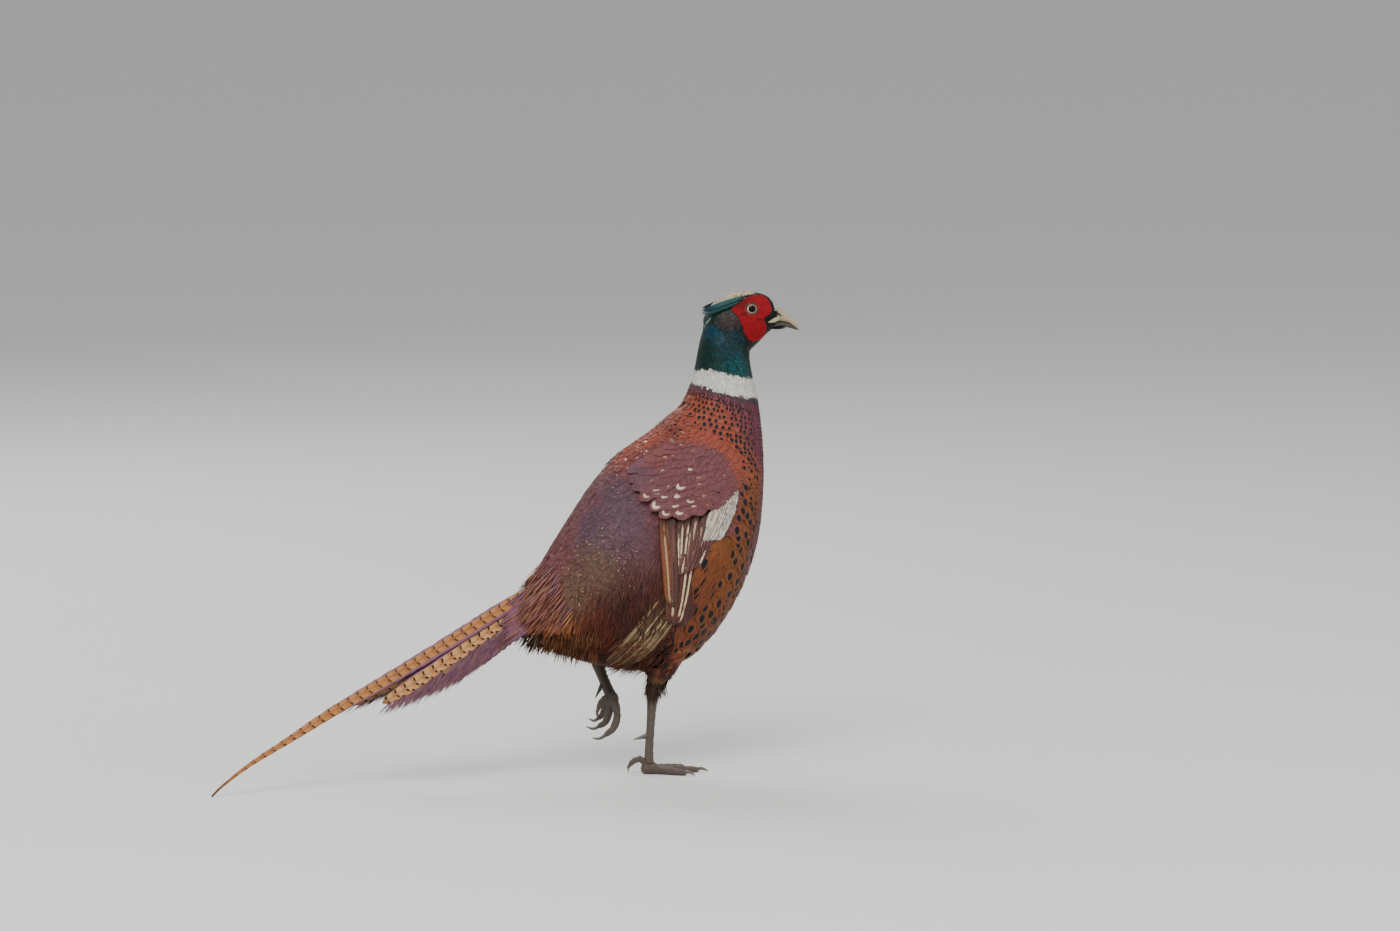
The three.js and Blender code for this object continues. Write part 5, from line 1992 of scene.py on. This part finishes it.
    @staticmethod
    def _loose(
        name: str,
        slope: Slope,
        lines: list[Array],
        tint: Array,
        half: Array,
        turn: Array,
        thick: float,
        material: Finish,
        rng: Chance,
    ) -> None:
        """Makes loose strands of one slope.

        Args:
            name: The piece's name without the side.
            slope: The slope.
            lines: The shafts.
            tint: A colour for each.
            half: Half the width of each.
            turn: Each one's place across the unwrap.
            thick: Their thickness.
            material: Their finish.
            rng: Where chance comes from.
        """
        middle = np.stack(lines)
        up = np.broadcast_to(slope.frame()[1], middle.shape)
        count = len(middle)
        root = unwrap(Zone.TRUNK, np.full(count, 0.02), slope.side * (0.2 + turn))
        vanes = Vanes(middle, up, half, Look.plain(tint, count), root, Cut(strand, thick, columns=THREE))
        adopt(vanes.build(f"{name}_{SIDES[slope.side]}", rng), material, "plumage_tail")


# The head's own pieces


def grown(name: str, voxel: float, smoothing: int, *nodes: str) -> Piece:
    """A finer, rounder copy of solids, to be given its details."""
    piece = copy_of(name, *nodes)
    with_modifier(piece, "REMESH", mode="VOXEL", voxel_size=voxel * MM, adaptivity=0.0)
    with_modifier(piece, "SMOOTH", factor=0.5, iterations=smoothing)
    return piece


@dataclass(frozen=True)
class Face:
    """The red skin, the lids, the eyes, the ear tufts and the bill."""

    eye: tuple[float, float, float] = (95.7, 13.8, 442.1)
    eye_radius: float = 5.9
    opening: float = 4.35
    solid_opening: float = 4.1
    reach: float = 6.4
    lid_edge: float = 6.5
    tuft_root: tuple[float, ...] = (87, 13.4, 451.6)
    tuft_lines: tuple[tuple[tuple[float, ...], ...], ...] = (
        ((77, 16, 450.8), (50.5, 10.8, 441.8)),
        ((76, 17, 447.8), (47.5, 12.4, 438)),
        ((75, 18, 444.4), (50, 14, 434.6)),
    )
    mouth: tuple[tuple[float, ...], ...] = (
        (111.4, 13.0, 428.6),
        (114.6, 11.0, 429.4),
        (118.0, 8.4, 430.6),
        (121.6, 6.9, 432.2),
    )

    def build(self, skin: Skin, plumage: Finish, rng: Chance) -> None:
        """Makes them all."""
        red, wet = FaceSkin().build(), EyeFinish().build()
        for side in (RIGHT, LEFT):
            self._wattle(side, red)
            self._eye(side, wet)
            self._tuft(side, plumage, rng)
        horn = Horn("bill_horn", "94866a", "2c261f").build()
        self._bill(horn)
        for side in (RIGHT, LEFT):
            self._gape(side, skin, horn)

    def _wattle(self, side: int, material: Finish) -> None:
        """The bare skin with its papillae, opened a little wider round the eye, with painted shade behind and
        under the eye, over its top and in its folds.
        """
        piece = grown(f"wattle_skin_{SIDES[side]}", 0.34, 3, f"wattle_{SIDES[side]}")
        mesh = piece.data
        points, out = coordinates(mesh), normals(mesh)
        flat = TURN.undo(points)
        ahead, above = flat[:, 0] - self.eye[0], flat[:, 2] - self.eye[2]
        away = np.hypot(ahead, above)
        skin = ease(away, self.lid_edge, self.lid_edge + 1.2)
        wander = 0.5 * np.sin(flat[:, 0] * 0.9) + 0.4 * np.sin(flat[:, 0] * 2.3 + flat[:, 2] * 0.7)
        rows = np.sin((flat[:, 2] + 0.7 * wander) * math.tau / 2.0)
        beads = np.sin((flat[:, 0] + 0.5 * np.sin(flat[:, 2] * 2.2)) * math.tau / 1.4)
        bump = 0.3 * skin * np.clip(rows * 0.6 + beads * 0.5 + 0.2, -0.4, 1.0)
        rings = 0.1 * (1 - skin) * np.sin(away * math.tau / 0.8)
        moved = points + out * (bump + rings)[:, None]
        within = away < self.reach
        stretch = (self.reach - self.opening) / (self.reach - self.solid_opening)
        widen = np.where(within, self.opening + (away - self.solid_opening) * stretch, away)
        flat = TURN.undo(moved)
        scale = np.maximum(widen, self.opening * 0.98) / np.maximum(away, 0.1)
        spread = np.stack([self.eye[0] + ahead * scale, flat[:, 1], self.eye[2] + above * scale], axis=-1)
        reshape(mesh, TURN.apply(np.where(within[:, None], spread, flat)))
        lid = ease(away, self.lid_edge + 0.5, self.lid_edge - 0.5)[:, None]
        # Painted shadow behind and below the eye, and painted shade in the crease between the upper and lower
        # lobes.
        corner = 0.85 * ease(np.hypot((ahead + 7.2) / 3.8, (above + 3.9 - 0.1 * ahead) / 1.7), 1.3, 0.5)
        crease_shade = 0.8 * ease(np.hypot((ahead - 8.5) / 6.0, (above + 8.2 + 0.25 * ahead) / 1.3), 1.2, 0.4)
        corner = np.maximum(corner, crease_shade)[:, None]
        # Painted shade: darker behind the eye, over the top of the skin and in the dips between the rows of
        # papillae.
        behind = ease(ahead, 6.0, -9.0) * ease(above, -3.0, 3.0) * 0.75
        top = ease(above - 7.5 - 0.18 * ahead, 0.0, 4.0) * 0.4
        dark = np.maximum(np.maximum(behind, top), 0.3 * skin * np.clip(-rows, 0, 1))[:, None]
        tint = colour("8c0310") * (1 - dark) + colour("4a060c") * dark
        tint = tint * (1 - lid) + colour("5e3a33") * lid
        tint = tint * (1 - corner) + colour("240a0a") * corner
        paint(mesh, "tint", tint)
        adopt(settle(piece), material, "wattle_skin", f"wattle_{SIDES[side]}")

    def _eye(self, side: int, material: Finish) -> None:
        """The ball of the eye with its bulging front."""
        bpy.ops.mesh.primitive_uv_sphere_add(segments=64, ring_count=40, radius=self.eye_radius * MM)
        piece = bpy.context.view_layer.objects.active
        piece.name = f"eye_ball_{SIDES[side]}"
        mesh = piece.data
        ball = coordinates(mesh)
        away = np.hypot(ball[:, 0], ball[:, 1])
        front = ball[:, 2] > 0
        ball[:, 2] += np.where(front, 0.45 * ease(away, 4.6, 1.0), 0.0)
        turn = np.arctan2(ball[:, 1], ball[:, 0])
        paint(mesh, "gaze", np.stack([np.where(front, away, 9.0), turn, np.zeros(len(ball))], axis=-1))
        axis = unit(np.array([0.05, float(side), 0.03]))
        right = unit(np.cross([0.0, 0.0, 1.0], axis))
        high = np.cross(axis, right)
        placed = ball[:, :1] * right + ball[:, 1:2] * high + ball[:, 2:] * axis
        reshape(mesh, TURN.apply(placed + np.array([self.eye[0], side * self.eye[1], self.eye[2]])))
        adopt(settle(piece), material, "eye", f"eye_{SIDES[side]}")

    def _tuft(self, side: int, material: Finish, rng: Chance) -> None:
        """The glossy ear tuft, of narrow feathers that all start over the eye."""
        count, rows = 64, 10
        u = np.linspace(0, 1, rows)[:, None]
        root = np.array(self.tuft_root) * [1, side, 1]
        ends = Spline(np.reshape(np.array(self.tuft_lines) * [1, side, 1], (3, 6)))
        share = rng.random(count)
        face = unit(np.array([0, side * 30.0, 30.0]))
        middle = []
        for place in share:
            knee, tip = ends(place).reshape(2, 3)
            shorter = rng.uniform(0.78, 1.0)
            t = u * shorter + (1 - u) * 0.02
            line = (1 - t) ** 2 * root + 2 * t * (1 - t) * (2 * knee - (root + tip) / 2) + t**2 * tip
            middle.append(line + face * rng.uniform(-0.4, 1.7) * np.minimum(1, u * 3))
        turned = TURN.apply(np.array(middle))
        up = unit(TURN.apply(np.array(middle) + face) - turned)
        dark = rng.random((count, 1))
        tint = colour("2c554a") * (1 - dark) + colour("123640") * dark
        look = Look.plain(tint, count, 0.6)
        look.mark[:] = colour("0c2440")
        look.grain[:, 0] = 0.7
        spot = unwrap(Zone.HEAD, np.full(count, 0.6), np.full(count, side * 0.9))
        half = rng.uniform(1.0, 1.7, count)
        vanes = Vanes(turned, up, half, look, spot, Cut(quill, 0.35, 0.25, 0.15, 0.15))
        adopt(vanes.build(f"tuft_{SIDES[side]}", rng), material, "plumage_green", f"ear_tuft_{SIDES[side]}")

    @staticmethod
    def _bill(material: Finish) -> None:
        """The two halves of the bill, with growth lines, painted shade in the nostril, and a lower half
        painted dark for the shade under the head.
        """
        # The lower half's full darkness is painted shade under the head and the upper bill.
        for half, dark in (("upper", 0.08), ("lower", 1.0)):
            piece = grown(f"bill_{half}_horn", 0.36, 3, f"bill_{half}")
            mesh = piece.data
            points, out = coordinates(mesh), normals(mesh)
            x, _, z = TURN.undo(points).T
            upper = half == "upper"
            line = np.sin((x - 0.6 * (z - 430)) * math.tau / 1.6)
            hood = upper * 0.6 * np.exp(-(((x - 119.8) / 3.4) ** 2 + ((z - 439.4) / 2.2) ** 2))
            moved = TURN.undo(points + out * (0.03 * line + hood)[:, None])
            moved[:, 0] -= (3.0 if upper else 5.0) * ease(moved[:, 0], 119.6, 118.0)
            moved[:, 2] += (0.0 if upper else 0.6) * out[:, 2]
            reshape(mesh, TURN.apply(moved))
            hook = 0.3 * ease(x, 136, 141)
            # Painted shade in the slit of the nostril, under its hood.
            nostril_shade = 1.2 * np.exp(-(((x - 122.2) / 2.8) ** 2 + ((z - 435.6 + 0.4 * (x - 122)) / 0.9) ** 2))
            cere = 0.75 * np.exp(-(((x - 119.4) / 2.8) ** 2 + ((z - 437.6) / 2.2) ** 2))
            cut = np.interp(x, [118, 125, 131.5, 140], [428.8, 428.2, 426.7, 420.3])
            edge = 0.45 * ease(z - cut, 2.2, 0.4)
            shade(mesh, np.clip(dark + (hook + nostril_shade + cere + edge) * upper, 0, 1))
            adopt(settle(piece), material, "horn", f"bill_{half}")

    def _gape(self, side: int, skin: Skin, material: Finish) -> None:
        """The pale edge of the mouth, drawn back over the cheek from the root of the bill."""
        line = TURN.apply(Spline(np.array(self.mouth) * [1, side, 1])(np.linspace(0, 1, 12)))
        hit = skin.meet(line)
        share = np.linspace(0, 1, 12)[:, None]
        low = hit.spot + hit.up * 1.5
        middle = (low * (1 - share**2) + line * share**2)[None]
        look = Look.plain(colour("94866a"), 1)
        up = unit(hit.up * (1 - share) + np.array([0.0, side * 1.0, 0.1]) * share)[None]
        root = unwrap(Zone.HEAD, np.array([0.95]), np.array([side * 1.6]))
        grow = Spline([[0.12], [0.5], [0.85], [1.0], [0.9]])
        cut = Cut(lambda u: grow(u)[..., 0], 0.7, ragged=0.0)
        vanes = Vanes(middle, up, np.array([2.3]), look, root, cut)
        adopt(vanes.build(f"gape_{SIDES[side]}", np.random.default_rng(5)), material, "horn")


# The legs


@dataclass(frozen=True)
class Strap:
    """The middle line of a scaly limb and how its plates lie."""

    line: tuple[tuple[float, float, float], ...]
    ahead: tuple[float, float, float]
    plate: float


SHANKS = {
    RIGHT: ((-4.5, -6, 81), (-5, -4, 59), (-5.6, -2.8, 44), (-6.4, -1.2, 23), (-6, 0, 8)),
    LEFT: ((-46, 49, 114), (-41, 42, 96.5), (-38.6, 34, 85), (-36, 24, 73)),
}
TOES = {
    RIGHT: (
        ((-5, 0, 4.3), (14, -3, 4.3), (34, -6, 4), (46, -7.5, 3.5)),
        ((-5, 0, 4.3), (13, 8, 4.3), (30, 16, 4)),
        ((-5, 0, 4.3), (10, -12, 4.3), (23, -24, 4)),
        ((-8, 0.5, 9), (-14, 1.5, 14), (-20, 2.6, 12.6), (-23.6, 3.4, 9.4)),
    ),
    LEFT: (
        ((-35.5, 17, 69), (-33.6, 12, 57), (-37.5, 10, 44.6), (-46.3, 8.5, 38)),
        ((-37.5, 21, 68), (-38.2, 22, 57.7), (-41.4, 23, 48.3), (-47.6, 24, 44.2)),
        ((-37, 25, 70), (-39, 32, 61), (-39.6, 37, 53.6), (-43, 39, 49.6)),
        ((-38, 20, 73), (-44, 17, 72), (-49.5, 14.5, 68), (-52, 13.5, 62.5)),
    ),
}


@dataclass(frozen=True)
class Legs:
    """The shanks, feet, spurs and claws, with the sizes of the plates on shanks and toes."""

    shank_plate: float = 4.6
    toe_plate: float = 3.1

    def build(self) -> None:
        """Makes both legs."""
        scales, horn = ScalySkin().build(), Horn("claw_horn", "6d6258", "1b1715").build()
        for side, name in ((RIGHT, "right"), (LEFT, "left")):
            shank = Strap(SHANKS[side], (1, 0, 0), self.shank_plate)
            self._plated(f"shank_{name}_scales", f"shank_{name}", [shank], scales)
            ahead = (0, 0, 1) if side == RIGHT else (1, 0, 0)
            toes = [Strap(line, ahead, self.toe_plate) for line in TOES[side]]
            self._plated(f"foot_{name}_scales", f"foot_{name}", toes, scales)
            for node in [f"spur_{name}"] + [f"claw_{name}_{k}" for k in range(1, 5)]:
                self._horny(node, horn)

    @staticmethod
    def _plated(name: str, node: str, straps: Sequence[Strap], material: Finish) -> None:
        """A copy of a solid of the leg with overlapping plates in front and small scales behind."""
        piece = grown(name, 0.5, 4, node)
        mesh = piece.data
        points, out = coordinates(mesh), normals(mesh)
        best = np.full(len(points), np.inf)
        run, turn, size = np.zeros(len(points)), np.zeros(len(points)), np.ones(len(points))
        for strap in straps:
            line = Spline(strap.line)(np.linspace(0, 1, 120))
            way = unit(np.gradient(line, axis=0))
            ahead = unit(np.array(strap.ahead) - way * (way @ np.array(strap.ahead))[:, None])
            aside = np.cross(way, ahead)
            gaps = np.linalg.norm(points[:, None] - line[None], axis=-1)
            near = gaps.argmin(axis=1)
            closer = gaps.min(axis=1) < best
            off = points - line[near]
            angle = np.arctan2(np.sum(off * aside[near], axis=1), np.sum(off * ahead[near], axis=1))
            along = travelled(line)[near] + np.sum(off * way[near], axis=1)
            run[closer], turn[closer], size[closer] = along[closer], angle[closer], strap.plate
            best = np.minimum(best, gaps.min(axis=1))
        front = ease(np.abs(turn), 1.75, 1.45)
        phase = (run / size + 0.5 * (turn > 0) * (size > 4)) % 1.0
        step = 0.32 * (phase - 0.5)
        seam = sum(np.exp(-(((phase - at) / 0.055) ** 2)) for at in (0.03, 1.03))
        middle = np.exp(-((turn / 0.07) ** 2)) * (size > 4)
        side = np.exp(-(((np.abs(turn) - 1.6) / 0.09) ** 2))
        groove = np.clip(seam * front + middle * front + side * 0.7, 0, 1)
        beads = np.sin(run * math.tau / 1.7 + 1.5 * np.sin(turn * 5)) * np.sin(turn * 8 + run * 0.9)
        lift = front * (step - 0.2 * groove) + (1 - front) * 0.09 * beads - 0.1 * side
        moved = points + out * lift[:, None]
        moved[:, 2] = np.maximum(moved[:, 2], 0.02)
        reshape(mesh, moved)
        under = ease(-out[:, 2], 0.2, 0.8) if "foot" in node else (1 - front) * 0.3
        shade(mesh, groove, under)
        adopt(settle(piece), material, "scaly_skin", node)

    @staticmethod
    def _horny(node: str, material: Finish) -> None:
        """A smooth copy of a claw or spur, paler at its root."""
        piece = grown(f"{node}_horn", 0.26, 2, node)
        points = coordinates(piece.data)
        centre = points.mean(axis=0)
        axis = np.linalg.svd(points - centre, full_matrices=False)[2][0]
        share = (points - centre) @ axis
        shade(piece.data, 0.45 + 0.35 * (share - share.min()) / (np.ptp(share) + 1e-6))
        adopt(settle(piece), material, "claw_horn", node)


# The studio


@dataclass(frozen=True)
class Softbox:
    """A large soft light: where it is and what it looks at, in metres, its size and its power."""

    name: str
    at: tuple[float, float, float]
    size: float
    power: float

    def place(self, target: Vector) -> None:
        """Adds the light."""
        data = bpy.data.lights.new(self.name, "AREA")
        data.size, data.energy = self.size, self.power
        lamp = bpy.data.objects.new(self.name, data)
        bpy.context.scene.collection.objects.link(lamp)
        lamp.location = self.at
        lamp.rotation_euler = (target - Vector(self.at)).to_track_quat("-Z", "Y").to_euler()


@dataclass
class Studio:
    """The floor, the lights and the camera."""

    eye: tuple[float, float, float] = (-2.2109, -6.1995, 0.9937)
    forward: tuple[float, float, float] = (0.3401, 0.9344, -0.1057)
    lens: float = 180.0
    target: tuple[float, float, float] = (-0.1, 0.0, 0.22)
    sky: tuple[float, float, float, float] = (0.86, 0.87, 0.88, 1)
    sky_strength: float = 0.75
    lights: tuple[Softbox, ...] = (
        Softbox("key_light", (-1.6, -2.6, 3.0), 2.2, 190.0),
        Softbox("fill_light", (2.6, -1.8, 1.6), 2.4, 60.0),
        Softbox("back_light", (-0.6, 2.6, 2.4), 2.0, 80.0),
    )

    def build(self) -> None:
        """Sets up the studio."""
        self._floor()
        for light in self.lights:
            light.place(Vector(self.target))
        world = bpy.data.worlds.new("room")
        world.use_nodes = True
        sky = world.node_tree.nodes["Background"].inputs
        sky["Color"].default_value = self.sky
        sky["Strength"].default_value = self.sky_strength
        bpy.context.scene.world = world
        data = bpy.data.cameras.new("camera")
        data.lens, data.sensor_width = self.lens, 36.0
        data.clip_end = 200.0
        camera = bpy.data.objects.new("camera", data)
        bpy.context.scene.collection.objects.link(camera)
        camera.location = self.eye
        camera.rotation_mode = "QUATERNION"
        camera.rotation_quaternion = Vector(self.forward).to_track_quat("-Z", "Y")
        bpy.context.scene.camera = camera

    @staticmethod
    def _floor() -> None:
        """A plain pale floor, with its edge far off."""
        bpy.ops.object.select_all(action="DESELECT")
        bpy.ops.mesh.primitive_circle_add(vertices=64, radius=60.0, fill_type="NGON")
        floor = bpy.context.view_layer.objects.active
        floor.name = "floor"
        graph = Graph("pale_floor")
        speck = graph.cloud(40.0, 6.0)
        base = graph.mix(speck * 0.25, colour("c9c9c6"), colour("bdbdba"))
        floor.data.materials.append(graph.finish(base, speck, 0.0003, Roughness=0.75))


def main() -> None:
    """Builds every piece in order."""
    logging.basicConfig(level=logging.INFO, format="%(message)s")
    Studio().build()
    plumage = Plumage().build()
    skin = Skin()
    skin.build()
    skin.dress(UnderCoat().build())
    for seed, tract in enumerate(TRACTS):
        tract.build(skin, plumage, 100 + seed)
    for seed, fringe in enumerate(FRINGES):
        fringe.build(plumage, 200 + seed)
    rng = np.random.default_rng(7)
    flight = Flight().build()
    for side in (RIGHT, LEFT):
        for index, sheet in enumerate(WING):
            piece = sheet.build(side, plumage if sheet.look is None else flight, rng)
            if index == 1:
                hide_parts(f"wing_{SIDES[side]}")
    Tail().build(TailVane().build(), plumage, rng)
    Face().build(skin, plumage, rng)
    Legs().build()


if __name__ == "__main__":
    main()
